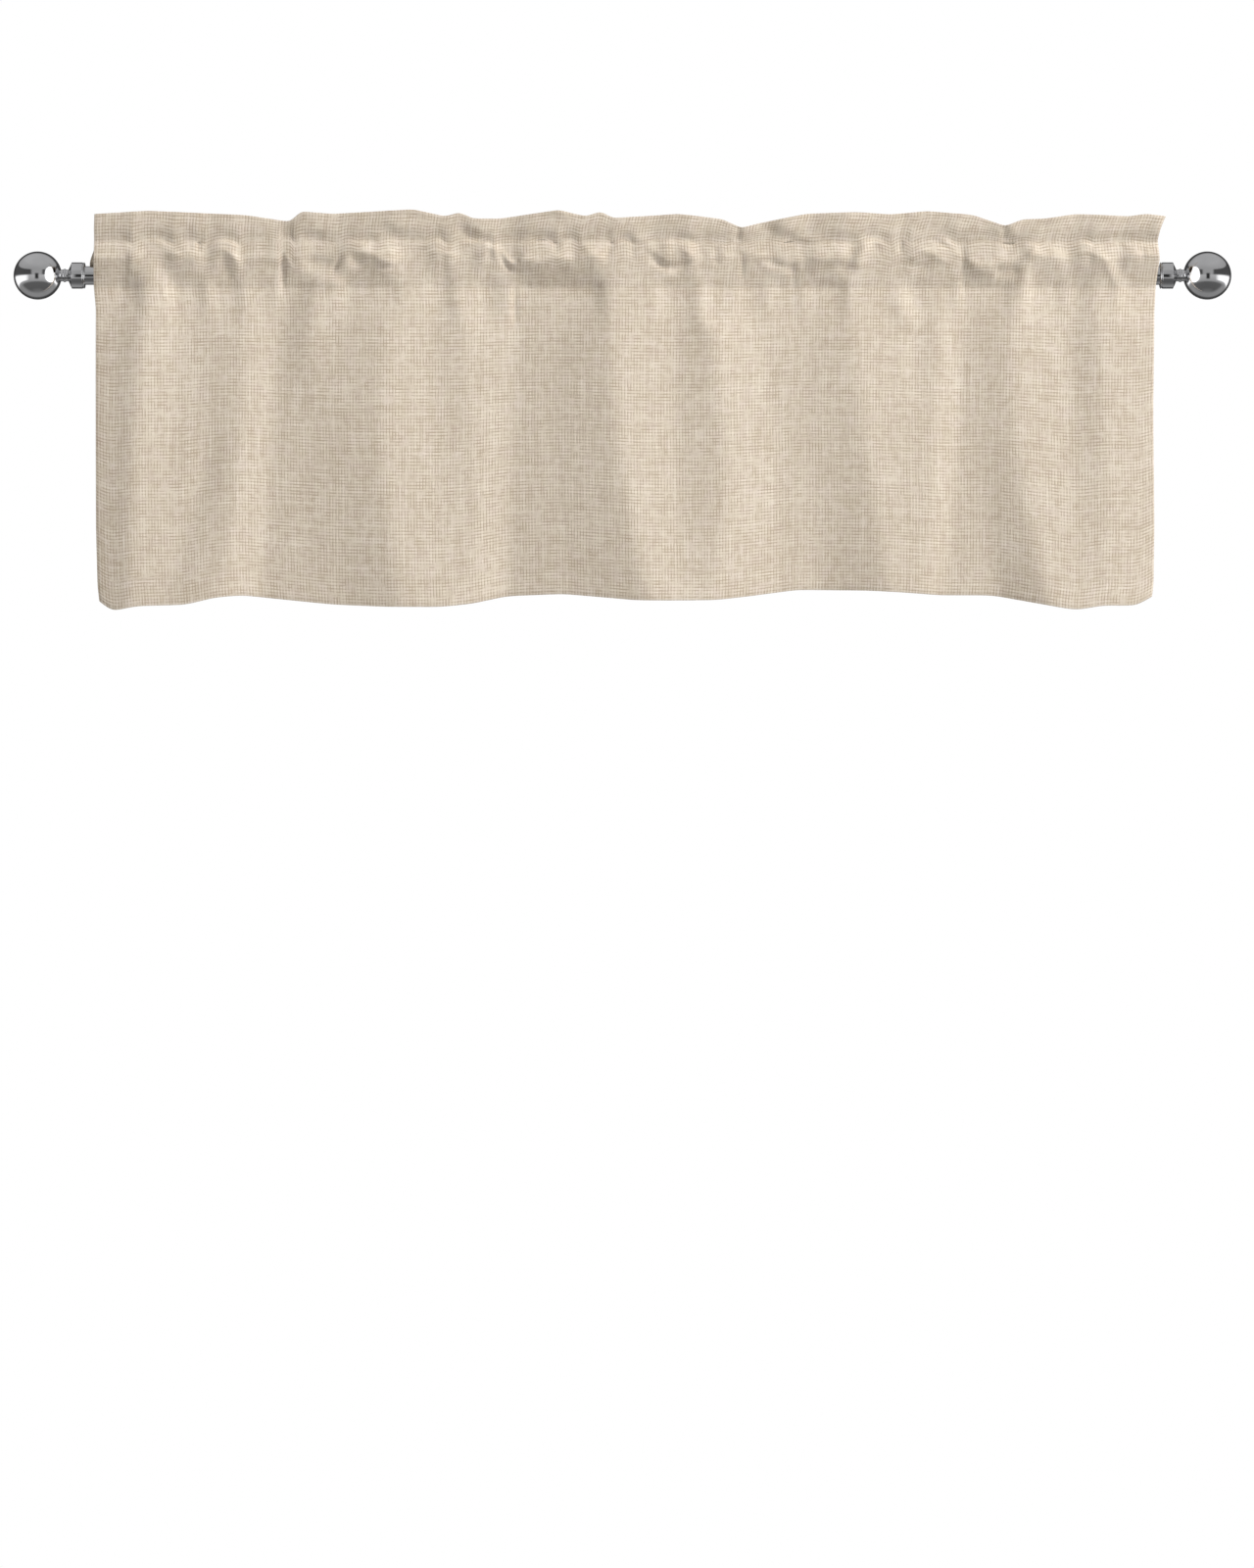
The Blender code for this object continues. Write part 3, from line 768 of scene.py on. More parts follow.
class Panel:
    """The panel's rows of points, from the hem up the front and over to the back."""

    def __init__(self):
        """Values of each column: its place, how loose it is, its tuck, its seams and its edges."""
        self.share = crowded_shares(COLUMNS)
        self.x = edge_to_edge(self.share, 0)
        self.loose = looseness(self.x)
        self.tuck = tucks(self.x)
        self.depth, self.arch = pillows(self.x)
        self.hem_z = line_through(HEM_LINE, "z", self.x, HEM_SOFTNESS)
        self.header_z = line_through(HEADER_TOP, "z", self.x, HEADER_SOFTNESS)
        crests = fold_out(self.x[None, :], [0.0])[0]
        self.stitch_out = STITCH_OUT + at_stitches(crests)
        self.header_out = HEADER_OUT + HEADER_FOLD * crests + SEAM_OVER * self.tuck
        brow = line_through(BROWS, "z", self.x, HEADER_SOFTNESS)
        self.fullest = (brow - LOWER_STITCH) / (self.arch - LOWER_STITCH)
        to_edge = np.minimum(self.share, 1 - self.share)
        corner = 1 - smooth_step(to_edge / SIDE_TURN_SHARE - 1)
        self.gap = TURN_GAP + (CORNER_GAP - TURN_GAP) * corner

    def skirt(self):
        """Front rows below the pocket, from the hem up.

        The folds grow to their full depth just below the stitches. Halfway down, the skirt bulges
        by a parabola, and its hem hangs back.
        """
        drop = DROPS[:, None]
        z = LOWER_STITCH + drop * (self.hem_z - LOWER_STITCH)
        x = edge_to_edge(self.share, z)
        folds = fold_out(x, DROPS)
        sewn = at_stitches(folds)
        out = STITCH_OUT + sewn + (folds - sewn) * smooth_step(drop / FULL_FOLD_AT)
        out += relief(x, z) - dip(z - LOWER_STITCH)
        out -= self.tuck * (1 - smooth_step((LOWER_STITCH - z) / TUCK_FADE))
        out += BELLY * 4 * drop * (1 - drop) - HEM_BACK * drop
        return points(x, -out, z)

    def height(self, rises):
        """z of the pocket's rows at the given shares of the way up between its two seams."""
        return LOWER_STITCH + rises[:, None] * (self.arch - LOWER_STITCH)

    def rise(self, z):
        """Share of the way up between the two seams at z."""
        return np.clip((z - LOWER_STITCH) / (self.arch - LOWER_STITCH), 0, 1)

    def swell(self, rise):
        """Rises from 0 at the lower stitches to 1 at the brow.

        Most of it rises evenly, and the rest as the square of a sine.
        """
        t = np.minimum(rise / self.fullest, 1)
        return EVEN_SHARE * t + (1 - EVEN_SHARE) * np.sin(math.pi / 2 * t) ** 2

    def seam(self, rise):
        """The straight line between the two rows of stitches, drawn in at its foot by the tucks."""
        straight = self.stitch_out + (self.header_out - self.stitch_out) * rise
        return straight - self.tuck * (1 - self.swell(rise))

    def front_out(self, x, z):
        """Distance out of the pocket's front.

        The seam's own line and the creases, with a bulge that swells up to the brow and drops
        almost evenly from there to the stitches, all held clear of the rod.
        """
        rise = self.rise(z)
        down = 1 - np.maximum((rise - self.fullest) / (1 - self.fullest), 0) ** FALL_POWER
        bulge = FRONT_BULGE[0] + FRONT_BULGE[1] * self.loose + self.depth + OVERHANG * self.tuck
        out = self.seam(rise) + bulge * self.swell(rise) * down + relief(x, z)
        return off_rod(out, out, z, rise, SLEEVE_RADIUS)

    def pocket(self):
        """Front rows from the lower to the upper stitches, each with a groove."""
        z = self.height(POCKET_RISES)
        x = edge_to_edge(self.share, z)
        out = self.front_out(x, z) - dip(z - LOWER_STITCH) - dip(z - self.arch)
        return points(x, -out, z)

    def header_front(self, rises):
        """Header rows at the given shares of its height.

        They lean out from the seam by their lean times 1 less a bell curve of the height above
        it, and a little further for each unit of that height.
        """
        rise = np.asarray(rises)[:, None]
        z = self.arch + rise * (self.header_z - self.arch)
        x = edge_to_edge(self.share, z)
        lean = line_through(LEANS, "out", self.x, HEADER_SOFTNESS)
        above = z - self.arch
        out = self.header_out + lean * (1 - np.exp(-((above / HEADER_BEND) ** 2))) + relief(x, z)
        out += HEADER_SLOPE * above
        return points(x, -(out - dip(above)), z)

    def header_fold(self):
        """Half a circle over the top edge, as wide as the gap."""
        edge = self.header_front([1.0])[0]
        turn = np.linspace(0, math.pi, FOLD_STEPS + 2)[:, None]
        radius = self.gap / 2
        lift = np.sin(turn) * radius
        back = (1 - np.cos(turn)) * radius
        return edge + points(0 * back, back, lift - radius)

    def header_back(self):
        """The header's front rows again, moved back by the gap."""
        rows = self.header_front(BACK_HEADER_RISES)
        rows[..., 1] += self.gap
        return rows

    def pocket_back(self):
        """Back rows from the upper stitches down to just below the lower ones.

        Above the tunnel's roof the two layers lie together. Below it the back swells by half a
        sine wave of the rise to a power, and it is held clear of the rod. At the left end it
        stands out sideways a little.
        """
        z = self.height(BACK_POCKET_RISES)
        z = np.concatenate([z, np.full_like(z[:1], LOWER_STITCH - TAIL)])
        rise = self.rise(z)
        x = edge_to_edge(self.share, z)
        gap = LOWER_GAP + (self.gap - LOWER_GAP) * rise
        flat = gap - self.seam(rise)
        bulge = BACK_BULGE[0] + BACK_BULGE[1] * self.loose + BACK_PUFF * self.depth
        back = flat + bulge * np.sin(math.pi * rise**BULGE_SKEW)
        roof = TUNNEL_REACH + ROOF_RISE * self.loose
        shut = self.gap - self.front_out(x, z)
        back = shut + (back - shut) * smooth_step((roof + ROOF_BLEND - z) / ROOF_BLEND)
        back = off_rod(back, flat, z, rise, SLEEVE_BACK_RADIUS)
        lip = END_LIP * np.exp(-((self.share / LIP_SHARE) ** 2)) * np.sin(math.pi * rise) ** 2
        return points(x - lip, back, z)

    def grid(self):
        """All rows, up the front and down the back."""
        return np.concatenate([
            self.skirt(), self.pocket(), self.header_front(HEADER_RISES), self.header_fold(),
            self.header_back(), self.pocket_back(),
        ])


def normals(grid):
    """Unit vectors off the cloth's face: the cross product of its steps across and along."""
    off = np.cross(np.gradient(grid, axis=1), np.gradient(grid, axis=0))
    return off / np.linalg.norm(off, axis=-1, keepdims=True)


def turned_edge(grid, count, gap, face=1):
    """The grid with its first rows turned under.

    New rows go round half a circle of the gap's width and then back along the inside of the first
    rows, the gap behind their face.
    """
    off = normals(grid) * face
    away = grid[0] - grid[1]
    away /= np.linalg.norm(away, axis=-1, keepdims=True)
    radius = np.broadcast_to(np.asarray(gap)[..., None] / 2, grid[0, :, :1].shape)
    turn = np.linspace(0, math.pi, FOLD_STEPS + 2)[1:-1, None, None]
    bend = grid[0] + away * radius * np.sin(turn) - off[0] * radius * (1 - np.cos(turn))
    inside = grid[: count + 1] - off[: count + 1] * 2 * radius
    return np.concatenate([inside[::-1], bend[::-1], grid])


def panel_grid():
    """The whole panel with its hem, its pocket's raw edge and its two sides turned under."""
    panel = Panel()
    grid = turned_edge(panel.grid(), HEM_TURN_ROWS, panel.gap)
    grid = turned_edge(grid[::-1], TAIL_TURN_ROWS, TAIL_GAP, -1)[::-1]
    across = grid.swapaxes(0, 1)
    across = turned_edge(across, SIDE_TURN_COLUMNS, TURN_GAP, -1)
    across = turned_edge(across[::-1], SIDE_TURN_COLUMNS, TURN_GAP, 1)[::-1]
    return across.swapaxes(0, 1)


def new_mesh(name, corners, faces):
    """A mesh of an array of points, with faces that name them by number."""
    mesh = bpy.data.meshes.new(name)
    mesh.from_pydata(corners.reshape(-1, 3).tolist(), [], faces)
    return mesh


def grid_mesh(name, grid, across, along):
    """Quads between neighbouring points, with the lengths across and along the cloth as UVs."""
    number = np.arange(grid[..., 0].size).reshape(grid.shape[:2])
    quads = np.stack(
        [number[:-1, :-1], number[:-1, 1:], number[1:, 1:], number[1:, :-1]], axis=-1
    ).reshape(-1, 4)
    mesh = new_mesh(name, grid, quads.tolist())
    flat = points(across[None, :], along[:, None], 0)[..., :2].reshape(-1, 2)
    layer = mesh.uv_layers.new(name="cloth")
    layer.data.foreach_set("uv", flat[quads.ravel()].astype(np.float32).ravel())
    return mesh


def tube_quads(number):
    """Quads round one or more tubes, from the numbers of their points ring by ring."""
    nearby = np.roll(number, -1, axis=-1)
    return np.stack([
        number[..., :-1, :], nearby[..., :-1, :], nearby[..., 1:, :], number[..., 1:, :]
    ], axis=-1).reshape(-1, 4)


def travelled(grid):
    """Distance of each row from the first, by the median step from one row to the next."""
    steps = np.linalg.norm(np.diff(grid, axis=0), axis=-1)
    return np.concatenate([[0], np.cumsum(np.median(steps, axis=1))])


def placed(name, data):
    """A new object in the scene."""
    made = bpy.data.objects.new(name, data)
    bpy.context.scene.collection.objects.link(made)
    return made


def add_object(mesh, material):
    """A smooth-shaded object of the mesh and with its name."""
    mesh.shade_smooth()
    mesh.materials.append(material)
    return placed(mesh.name, mesh)


def add_panel(material):
    """The gathered sheet, with the cloth's thickness added behind its face."""
    grid = panel_grid()
    along = travelled(grid)
    across = travelled(grid.swapaxes(0, 1))
    mesh = grid_mesh("gathered_panel", grid, across * FLAT_WIDTH / across[-1], along)
    made = add_object(mesh, material)
    thickness = made.modifiers.new("cloth thickness", "SOLIDIFY")
    thickness.thickness = CLOTH
    thickness.offset = -1
    return made, grid


def stitch_row(path, off):
    """A row of short spindles of thread along a path.

    Each is a tube round its stretch of the path, thin at its ends where it dives into the cloth.
    """
    steps = np.linalg.norm(np.diff(path, axis=0), axis=-1)
    run = np.concatenate([[0], np.cumsum(steps)])
    count = int(run[-1] / STITCH_PITCH - 2 * BARE_STITCHES)
    middle = STITCH_PITCH * (BARE_STITCHES + np.arange(count))

    def at(lengths, values):
        """The values at the given lengths along the path."""
        return np.stack([np.interp(lengths, run, values[:, k]) for k in range(3)], axis=-1)

    half = STITCH_LENGTH / 2
    place, lift = at(middle, path), at(middle, off)
    forward = at(middle + half, path) - at(middle - half, path)
    forward /= np.linalg.norm(forward, axis=-1, keepdims=True)
    side = np.cross(lift, forward)
    turn = np.arange(THREAD_SIDES) * 2 * math.pi / THREAD_SIDES
    shape = np.array(THREAD_SHAPE)
    ring = (
        side[:, None, None] * np.cos(turn)[:, None] + lift[:, None, None] * np.sin(turn)[:, None]
    )
    return (
        place[:, None, None]
        + forward[:, None, None] * (shape[:, 0] * half)[:, None, None]
        + ring * (shape[:, 1] * THREAD_RADIUS)[:, None, None]
        + lift[:, None, None] * THREAD_LIFT
    )


def stitches_mesh(name, spindles):
    """Quads round each spindle and a face over each of its two ends."""
    number = np.arange(spindles[..., 0].size).reshape(spindles.shape[:3])
    caps = np.concatenate([number[:, 0, ::-1], number[:, -1]])
    return new_mesh(name, spindles, tube_quads(number).tolist() + caps.tolist())


def eased(profile, radius):
    """A profile of straight runs with each corner replaced by a short curve.

    The curve is the parabola that leaves one run and joins the next at the radius from the corner,
    or at a share of the run where that is shorter.
    """
    corners = np.array(profile, float)
    out = [corners[:1]]
    t = np.linspace(0, 1, CORNER_STEPS)[:, None]
    for before, corner, after in zip(corners[:-2], corners[1:-1], corners[2:]):
        ends = []
        for other in (before, after):
            run = other - corner
            length = np.linalg.norm(run)
            ends.append(corner + run / length * min(radius, CORNER_SHARE * length))
        start, end = ends
        out.append(start * (1 - t) ** 2 + corner * 2 * t * (1 - t) + end * t**2)
    out.append(corners[-1:])
    return np.concatenate(out)


def lathe_mesh(name, profile, way):
    """A profile of (place along the rod, radius) turned once about the rod's axis.

    y = radius times the cosine and z = radius times the sine of the turn. Points on the axis are
    poles, and `way` is -1 for the left end.
    """
    turn = np.arange(LATHE_STEPS) * 2 * math.pi / LATHE_STEPS
    along, radius = profile[:, :1], profile[:, 1:]
    rings = points(way * along, radius * np.cos(turn), radius * np.sin(turn))
    number = np.arange(rings[..., 0].size).reshape(rings.shape[:2])
    mesh = new_mesh(name, rings, tube_quads(number).tolist())
    close_seams(mesh)
    return mesh


def close_seams(mesh):
    """Merges doubled points and turns all faces outwards."""
    shape = bmesh.new()
    shape.from_mesh(mesh)
    bmesh.ops.remove_doubles(shape, verts=shape.verts, dist=MERGE_DISTANCE)
    bmesh.ops.dissolve_degenerate(shape, edges=shape.edges, dist=MERGE_DISTANCE / 2)
    bmesh.ops.recalc_face_normals(shape, faces=shape.faces)
    shape.to_mesh(mesh)
    shape.free()


def finial_profile():
    """Ball and neck: an arc of the ball, then the neck with its raised ring."""
    meets_neck = math.pi - math.asin(NECK_RADIUS / BALL_RADIUS)
    turn = np.linspace(0, meets_neck, BALL_STEPS)
    ball = np.stack(
        [BALL_CENTRE + BALL_RADIUS * np.cos(turn), BALL_RADIUS * np.sin(turn)], axis=-1
    )
    inner = ball[-1, 0]
    ring = (NECK_START + inner) / 2
    neck = [
        (inner, NECK_RADIUS),
        (ring + RING_FOOT, NECK_RADIUS),
        (ring + RING_TOP, NECK_RADIUS + NECK_RING),
        (ring - RING_TOP, NECK_RADIUS + NECK_RING),
        (ring - RING_FOOT, NECK_RADIUS),
        (NECK_START, NECK_RADIUS),
        (NECK_START, 0),
    ]
    return np.concatenate([ball[:-1], eased(neck, NECK_EASE)])


def cap_profile():
    """A cup over the rod's end: coned shoulder, body, groove and thin flange.

    Its corners are in millimetres from the cap's open end, and from the rod's axis.
    """
    corners = (
        (19.5, 0), (19.5, 7.25), (15.7, 15.5), (2.9, 15.5), (2.5, 14.5), (2.0, 14.5), (1.6, 15.5),
        (0.9, 15.5), (0.0, 13.9), (0.0, 11.3), (12.3, 11.3), (12.3, 0),
    )
    profile = np.array(corners) * MM
    profile[:, 0] += CAP_START
    return eased(profile, CAP_EASE)


def rod_profile():
    """The tube's outside, end rims and bore as one closed line."""
    bore = ROD_RADIUS - ROD_WALL
    return np.array([
        (-ROD_HALF, bore), (-ROD_HALF, ROD_RADIUS), (ROD_HALF, ROD_RADIUS), (ROD_HALF, bore),
        (-ROD_HALF, bore),
    ])


def feed(tree, made, feeds):
    """Sets a node's inputs to fixed values, or links them to other nodes' sockets."""
    for key, value in feeds.items():
        if isinstance(value, bpy.types.NodeSocket):
            tree.links.new(value, made.inputs[key])
        else:
            made.inputs[key].default_value = value


def node(tree, kind, feeds=(), **settings):
    """A new node with its settings and its fed inputs."""
    made = tree.nodes.new(kind)
    for key, value in settings.items():
        setattr(made, key, value)
    feed(tree, made, dict(feeds))
    return made


def math_node(tree, operation, *values):
    """A Math node whose inputs are sockets or numbers; its result socket."""
    return node(tree, "ShaderNodeMath", enumerate(values), operation=operation).outputs[0]


def noise(tree, x, y, layer, scale_x, scale_y, detail=1.0):
    """Noise at a place whose two coordinates are scaled apart, so that it makes streaks."""
    place = node(tree, "ShaderNodeCombineXYZ", {
        "X": math_node(tree, "MULTIPLY", x, scale_x),
        "Y": math_node(tree, "MULTIPLY", y, scale_y),
        "Z": layer,
    })
    feeds = {"Vector": place.outputs[0], "Scale": 1.0, "Detail": detail}
    return node(tree, "ShaderNodeTexNoise", feeds).outputs["Fac"]


def ramp_between(tree, value, low, high):
    """0 below low and 1 above high, straight in between."""
    feeds = {"Value": value, "From Min": low, "From Max": high}
    return node(tree, "ShaderNodeMapRange", feeds).outputs["Result"]


def weave_group():
    """Slub weave: lines of thread across and along, which fade in and out in patches.

    Each set of lines is a cosine wave of the thread pitch, moved sideways by a slow noise. One
    noise picks which set shows, and another how strongly. Each thread's own shade drifts along its
    length. Slubs are stretches where the gap beside a thread is darker, and pinholes are where the
    gaps of both sets meet. The height is the sum of the two waves.
    """
    group = bpy.data.node_groups.new("slub weave", "ShaderNodeTree")
    face = group.interface
    face.new_socket("Vector", in_out="INPUT", socket_type="NodeSocketVector")
    pitch = face.new_socket("Pitch", in_out="INPUT", socket_type="NodeSocketFloat")
    pitch.default_value = THREAD_PITCH
    for name in ("Shade", "Tint", "Height"):
        face.new_socket(name, in_out="OUTPUT", socket_type="NodeSocketFloat")
    inputs, outputs = node(group, "NodeGroupInput"), node(group, "NodeGroupOutput")
    u, v, _ = node(group, "ShaderNodeSeparateXYZ", {0: inputs.outputs["Vector"]}).outputs

    def op(*values):
        return math_node(group, *values)

    def lines(coordinate):
        """One set's wave, and the number of the nearest thread."""
        count = op("DIVIDE", coordinate, inputs.outputs["Pitch"])
        wave = op("COSINE", op("MULTIPLY", count, 2 * math.pi))
        return wave, op("FLOOR", op("ADD", count, 0.5))

    def spread(value, size):
        """How far a noise is from its middle value, times a size."""
        return op("MULTIPLY", op("SUBTRACT", value, 0.5), size)

    wander = spread(noise(group, u, v, *WANDER_NOISE), WANDER)
    warp, warp_number = lines(op("ADD", u, wander))
    weft, weft_number = lines(op("ADD", v, wander))
    warp_shade = noise(group, warp_number, v, *WARP_NOISE)
    weft_shade = noise(group, weft_number, u, *WEFT_NOISE)
    which = ramp_between(group, noise(group, u, v, *SET_NOISE), *SET_RANGE)
    strength = ramp_between(group, noise(group, u, v, *STRENGTH_NOISE), *STRENGTH_RANGE)
    warp_slub = ramp_between(group, noise(group, warp_number, v, *WARP_SLUB_NOISE), *SLUB_RANGE)
    weft_slub = ramp_between(group, noise(group, weft_number, u, *WEFT_SLUB_NOISE), *SLUB_RANGE)
    blotch = noise(group, u, v, *BLOTCH_NOISE)
    picked = op(
        "ADD", op("MULTIPLY", weft, which), op("MULTIPLY", warp, op("SUBTRACT", 1.0, which))
    )
    both = op("ADD", warp, weft)
    crossing = op("ADD", op("MULTIPLY", picked, PICKED_SHARE), op("MULTIPLY", both, BOTH_SHARE))
    pinhole = op("MAXIMUM", op("SUBTRACT", op("MULTIPLY", both, -1.0), PINHOLE_START), 0.0)
    crossing = op("SUBTRACT", crossing, op("MULTIPLY", pinhole, PINHOLE_DEPTH))
    shade = op("MULTIPLY", op("MULTIPLY", crossing, strength), LINE_SHADE)
    shade = op("ADD", shade, spread(warp_shade, WARP_SHADE))
    shade = op("ADD", shade, spread(weft_shade, WEFT_SHADE))
    shade = op("ADD", shade, spread(blotch, BLOTCH_SHADE))
    for wave, slub in ((warp, warp_slub), (weft, weft_slub)):
        gap = op("MAXIMUM", op("MULTIPLY", wave, -1.0), 0.0)
        shade = op("SUBTRACT", shade, op("MULTIPLY", op("MULTIPLY", gap, slub), SLUB_SHADE))
    feed(group, outputs, {
        "Shade": op("ADD", shade, MIDDLE_SHADE),
        "Tint": noise(group, u, v, *TINT_NOISE),
        "Height": op("MULTIPLY", both, THREAD_HEIGHT),
    })
    return group


def linear(red, green, blue):
    """An sRGB colour of 0 to 255 as linear light, by the curve of the sRGB standard."""
    share = np.array([red, green, blue]) / 255
    low, high = share / 12.92, ((share + 0.055) / 1.055) ** 2.4
    return (*np.where(share <= 0.04045, low, high).tolist(), 1.0)


def mix(tree, factor, a, b, **settings):
    """A Mix node of two colours, each a socket or fixed; its result socket."""
    feeds = {"Factor": factor, "A": a, "B": b}
    return node(tree, "ShaderNodeMix", feeds, data_type="RGBA", **settings).outputs["Result"]


def new_material(name):
    """A material, its nodes and its shader."""
    made = bpy.data.materials.new(name)
    made.use_nodes = True
    return made, made.node_tree, made.node_tree.nodes["Principled BSDF"]


def colour_ramp(tree, value, stops):
    """Colours blended straight between stops, each of them a place from 0 to 1 and a colour."""
    made = node(tree, "ShaderNodeValToRGB", {"Fac": value})
    ends = made.color_ramp.elements
    for place, colour in stops[1:-1]:
        ends.new(place).color = colour
    ends[0].position, ends[0].color = stops[0]
    ends[-1].position, ends[-1].color = stops[-1]
    return made.outputs["Color"]


def speckle(tree, scale, detail):
    """Noise in the object's own space."""
    place = node(tree, "ShaderNodeTexCoord").outputs["Object"]
    feeds = {"Vector": place, "Scale": scale, "Detail": detail}
    return node(tree, "ShaderNodeTexNoise", feeds).outputs["Fac"]


def linen_material(weave):
    """Beige linen-look cloth whose colour and bump follow the weave."""
    made, tree, shader = new_material("slub linen cloth")
    place = node(tree, "ShaderNodeUVMap", uv_map="cloth").outputs[0]
    feeds = {"Vector": place, "Pitch": THREAD_PITCH}
    threads = node(tree, "ShaderNodeGroup", feeds, node_tree=weave).outputs
    colour = colour_ramp(tree, threads["Shade"], (
        (0.05, linear(187, 170, 149)),
        (0.5, linear(214, 201, 182)),
        (0.95, linear(235, 224, 208)),
    ))
    tint = ramp_between(tree, threads["Tint"], *TINT_RANGE)
    feeds = {"Strength": 0.35, "Distance": 0.25 * MM, "Height": threads["Height"]}
    feed(tree, shader, {
        "Base Color": mix(tree, tint, colour, (1.0, 0.985, 1.02, 1), blend_type="MULTIPLY"),
        "Normal": node(tree, "ShaderNodeBump", feeds).outputs[0],
        "Roughness": 0.92,
        "Specular IOR Level": 0.2,
        "Sheen Weight": 0.08,
    })
    return made


def thread_material():
    """Thread of the cloth's colour with a fine grain."""
    made, tree, shader = new_material("sewing thread")
    colour = colour_ramp(tree, speckle(tree, 900.0, 2.0), (
        (0.3, linear(198, 184, 163)),
        (0.7, linear(218, 206, 188)),
    ))
    feed(tree, shader, {"Base Color": colour, "Roughness": 0.8})
    return made


def steel_material():
    """Mirror-polished steel with faint smudges."""
    made, tree, shader = new_material("polished steel")
    smudge = speckle(tree, 45.0, 4.0)
    feeds = {"Value": smudge, "To Min": 0.05, "To Max": 0.14}
    feed(tree, shader, {
        "Base Color": colour_ramp(tree, smudge, (
            (0.3, (0.60, 0.60, 0.61, 1)),
            (0.7, (0.70, 0.70, 0.71, 1)),
        )),
        "Roughness": node(tree, "ShaderNodeMapRange", feeds).outputs["Result"],
        "Metallic": 1.0,
    })
    return made


def add_rod_and_finials(steel):
    """The turned pieces, each in the place of its solid."""
    turned = [("curtain_rod", "rod_tube", rod_profile(), 1)]
    for side, way in (("left", -1), ("right", 1)):
        for kind, profile in (("end_cap", cap_profile()), ("finial", finial_profile())):
            turned.append((f"{side}_turned_{kind}", f"{side}_{kind}", profile, way))
    for name, solid, profile, way in turned:
        piece = add_object(lathe_mesh(name, profile, way), steel)
        piece.data.set_sharp_from_angle(angle=SHARP_ANGLE)
        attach(piece, "root")
        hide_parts(solid)


def add_stitches(grid, thread):
    """Stitches along the hem and the two pocket seams, short of the turned side edges."""
    off = normals(grid)
    hem = HEM_TURN_ROWS + 1 + FOLD_STEPS
    lower = hem + len(DROPS)
    upper = lower + len(POCKET_RISES) - 1
    side = SIDE_TURN_COLUMNS + 1 + FOLD_STEPS
    inner = slice(side, -side)
    spindles = np.concatenate([
        stitch_row(grid[row, inner], off[row, inner])
        for row in (hem + HEM_STITCH_ROW, lower, upper)
    ])
    return add_object(stitches_mesh("seam_stitches", spindles), thread)


def add_camera():
    """The photo's view: level, straight on, with one frame of the photo's height."""
    data = bpy.data.cameras.new("view")
    made = placed("view", data)
    made.location = (VIEW_X, -VIEW_DISTANCE, VIEW_Z)
    made.rotation_euler = (math.pi / 2, 0, 0)
    data.sensor_width = SENSOR
    data.lens = SENSOR * VIEW_DISTANCE / FRAME_HEIGHT
    data.clip_end = 100
    bpy.context.scene.camera = made


def add_light(name, place, aim, size, power, in_chrome=False):
    """A light aimed at a point. One that shows in the chrome is round and lights nothing else."""
    data = bpy.data.lights.new(name, "AREA")
    data.shape = "DISK" if in_chrome else "SQUARE"
    data.size = size
    data.energy = power
    made = placed(name, data)
    made.location = place
    towards = np.array(aim) - np.array(place)
    made.rotation_euler = (
        math.acos(-towards[2] / np.linalg.norm(towards)), 0,
        math.atan2(towards[1], towards[0]) - math.pi / 2,
    )
    made.visible_glossy = in_chrome
    made.visible_diffuse = not in_chrome
    made.visible_camera = False


def add_floor():
    """A pale disk far below, which doesn't show in the chrome."""
    turn = np.arange(FLOOR_STEPS) * 2 * math.pi / FLOOR_STEPS
    ring = points(FLOOR_RADIUS * np.cos(turn), FLOOR_RADIUS * np.sin(turn), FLOOR_Z)
    made, tree, shader = new_material("pale floor")
    feed(tree, shader, {"Base Color": (0.86, 0.86, 0.85, 1), "Roughness": 0.9})
    floor = add_object(new_mesh("floor", ring, [list(range(FLOOR_STEPS))]), made)
    floor.visible_glossy = False


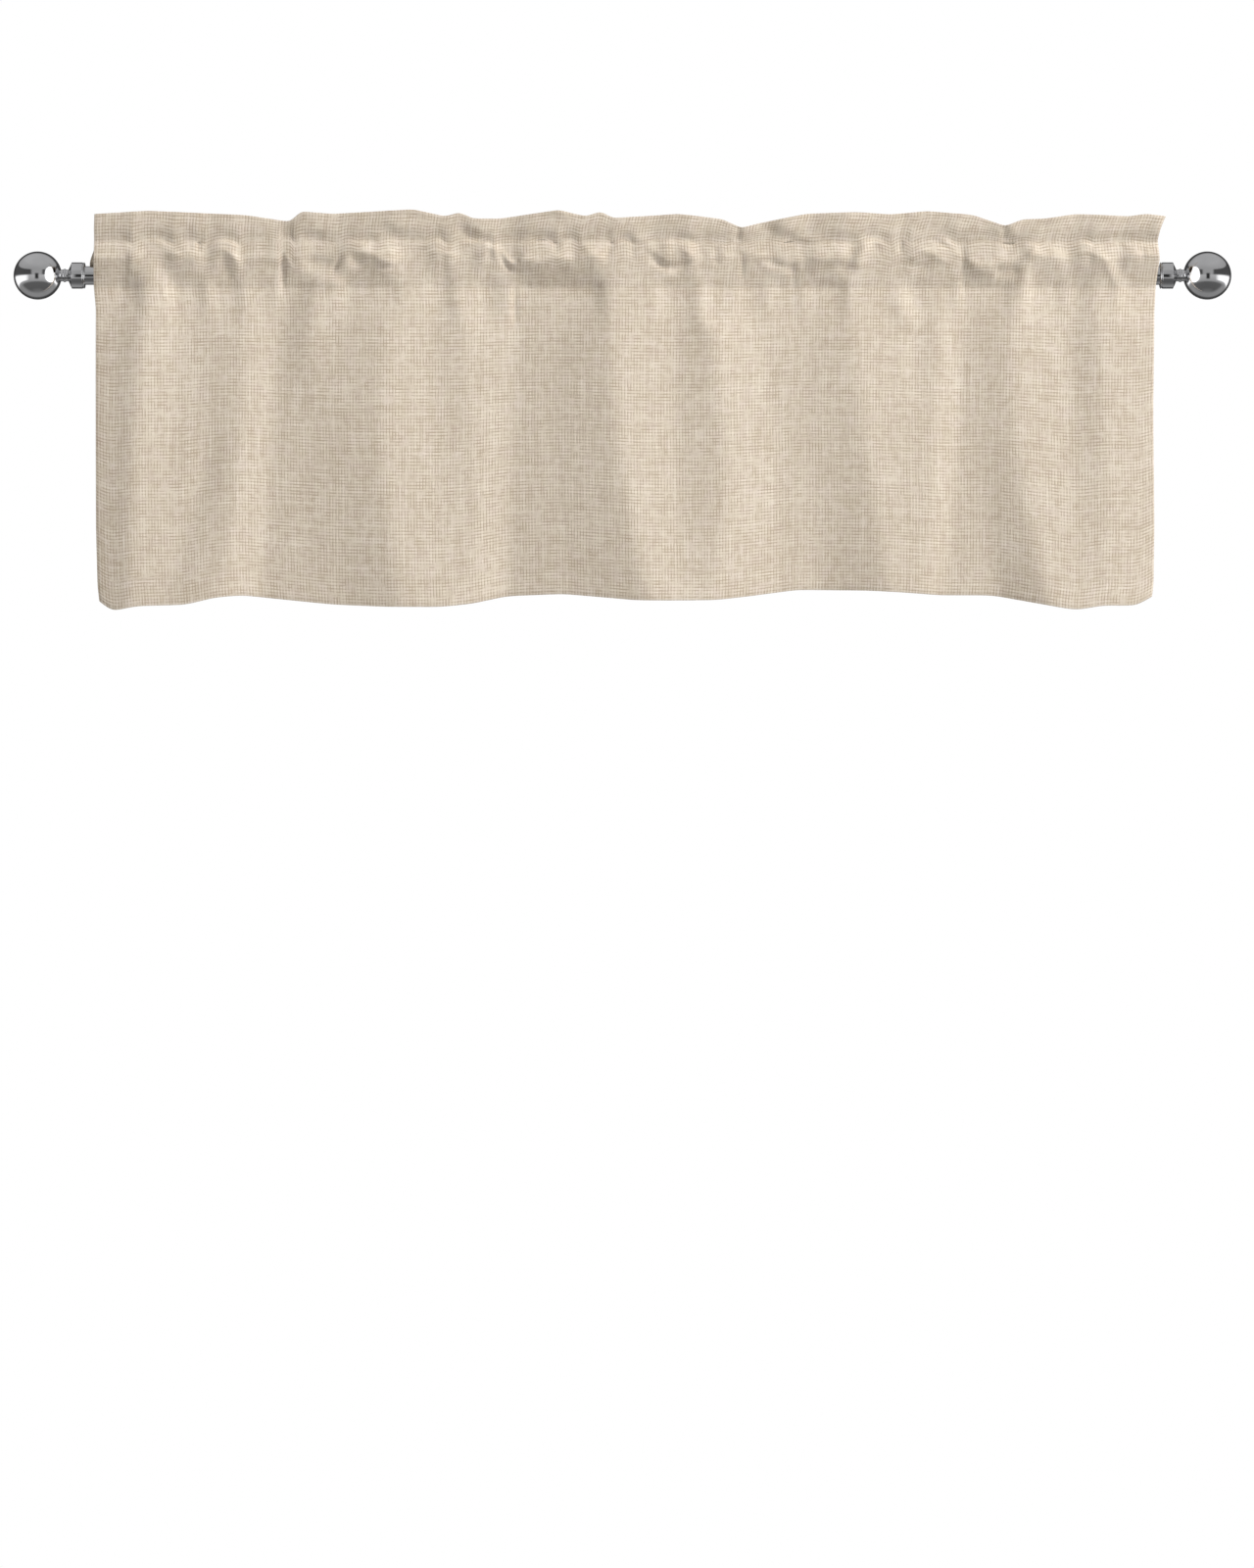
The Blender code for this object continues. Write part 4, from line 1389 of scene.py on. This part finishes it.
def add_world():
    """White background, soft grey light, and a studio with two softboxes in the chrome.

    The direction looked in has the parts x to the right, y away and z up.
    """
    world = bpy.data.worlds.new("studio")
    world.use_nodes = True
    bpy.context.scene.world = world
    tree = world.node_tree
    ray = node(tree, "ShaderNodeLightPath").outputs
    way = node(tree, "ShaderNodeTexCoord").outputs["Generated"]
    x, y, z = node(tree, "ShaderNodeSeparateXYZ", {0: way}).outputs

    def op(*values):
        return math_node(tree, *values)

    def grey(value):
        return (value, value, value, 1)

    def within(value, low, high, edge):
        """1 between low and high and 0 outside, with edges inside them."""
        return op(
            "MULTIPLY", ramp_between(tree, value, low, low + edge),
            ramp_between(tree, value, high, high - edge),
        )

    tall = op("MULTIPLY_ADD", z, 0.5, 0.5)
    wide = op("ABSOLUTE", x)
    # A patch comes in from the first of each two values to the second
    ground = op("MULTIPLY", ramp_between(tree, y, -0.1, 0.2), ramp_between(tree, z, -0.4, -0.55))
    wedge = op("MULTIPLY", within(z, 0.02, 0.46, 0.05), ramp_between(tree, wide, 0.36, 0.5))
    softbox = op("MULTIPLY", within(z, -0.4, 0.02, 0.05), ramp_between(tree, wide, 0.6, 0.82))
    rear = ramp_between(tree, y, 0.56, 0.76)
    camera = op(
        "MULTIPLY", ramp_between(tree, wide, 0.2, 0.08),
        op("MULTIPLY", ramp_between(tree, y, -0.6, -0.8), within(z, -0.38, 0.2, 0.12)),
    )
    lit = colour_ramp(tree, tall, [(place, grey(value)) for place, value in STUDIO])
    for area, value in (
        (ground, GROUND_GREY), (wedge, WEDGE_GREY), (softbox, SOFTBOX_GREY),
        (rear, REAR_GREY), (camera, CAMERA_GREY),
    ):
        lit = mix(tree, area, lit, grey(value))
    soft = mix(tree, ray["Is Glossy Ray"], grey(SOFT_LIGHT), lit)
    shown = mix(tree, ray["Is Camera Ray"], soft, grey(1.0))
    feed(tree, tree.nodes["Background"], {"Color": shown})


def main():
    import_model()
    weave = weave_group()
    panel, grid = add_panel(linen_material(weave))
    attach(panel, "root")
    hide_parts("valance_cloth")
    stitches = add_stitches(grid, thread_material())
    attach(stitches, "root")
    add_rod_and_finials(steel_material())
    add_floor()
    add_world()
    add_light("key light", place=(6.7, -4.2, 5.7), aim=(0, 0, -0.2), size=2.3, power=1060)
    for name, way in (("left sparkle", -1), ("right sparkle", 1)):
        place, aim = (0.50 * way, -0.08, 0.01), (0.70 * way, 0, 0)
        add_light(name, place, aim, size=0.24, power=0.26, in_chrome=True)
    add_camera()
    bpy.context.scene.view_settings.view_transform = "Standard"


main()
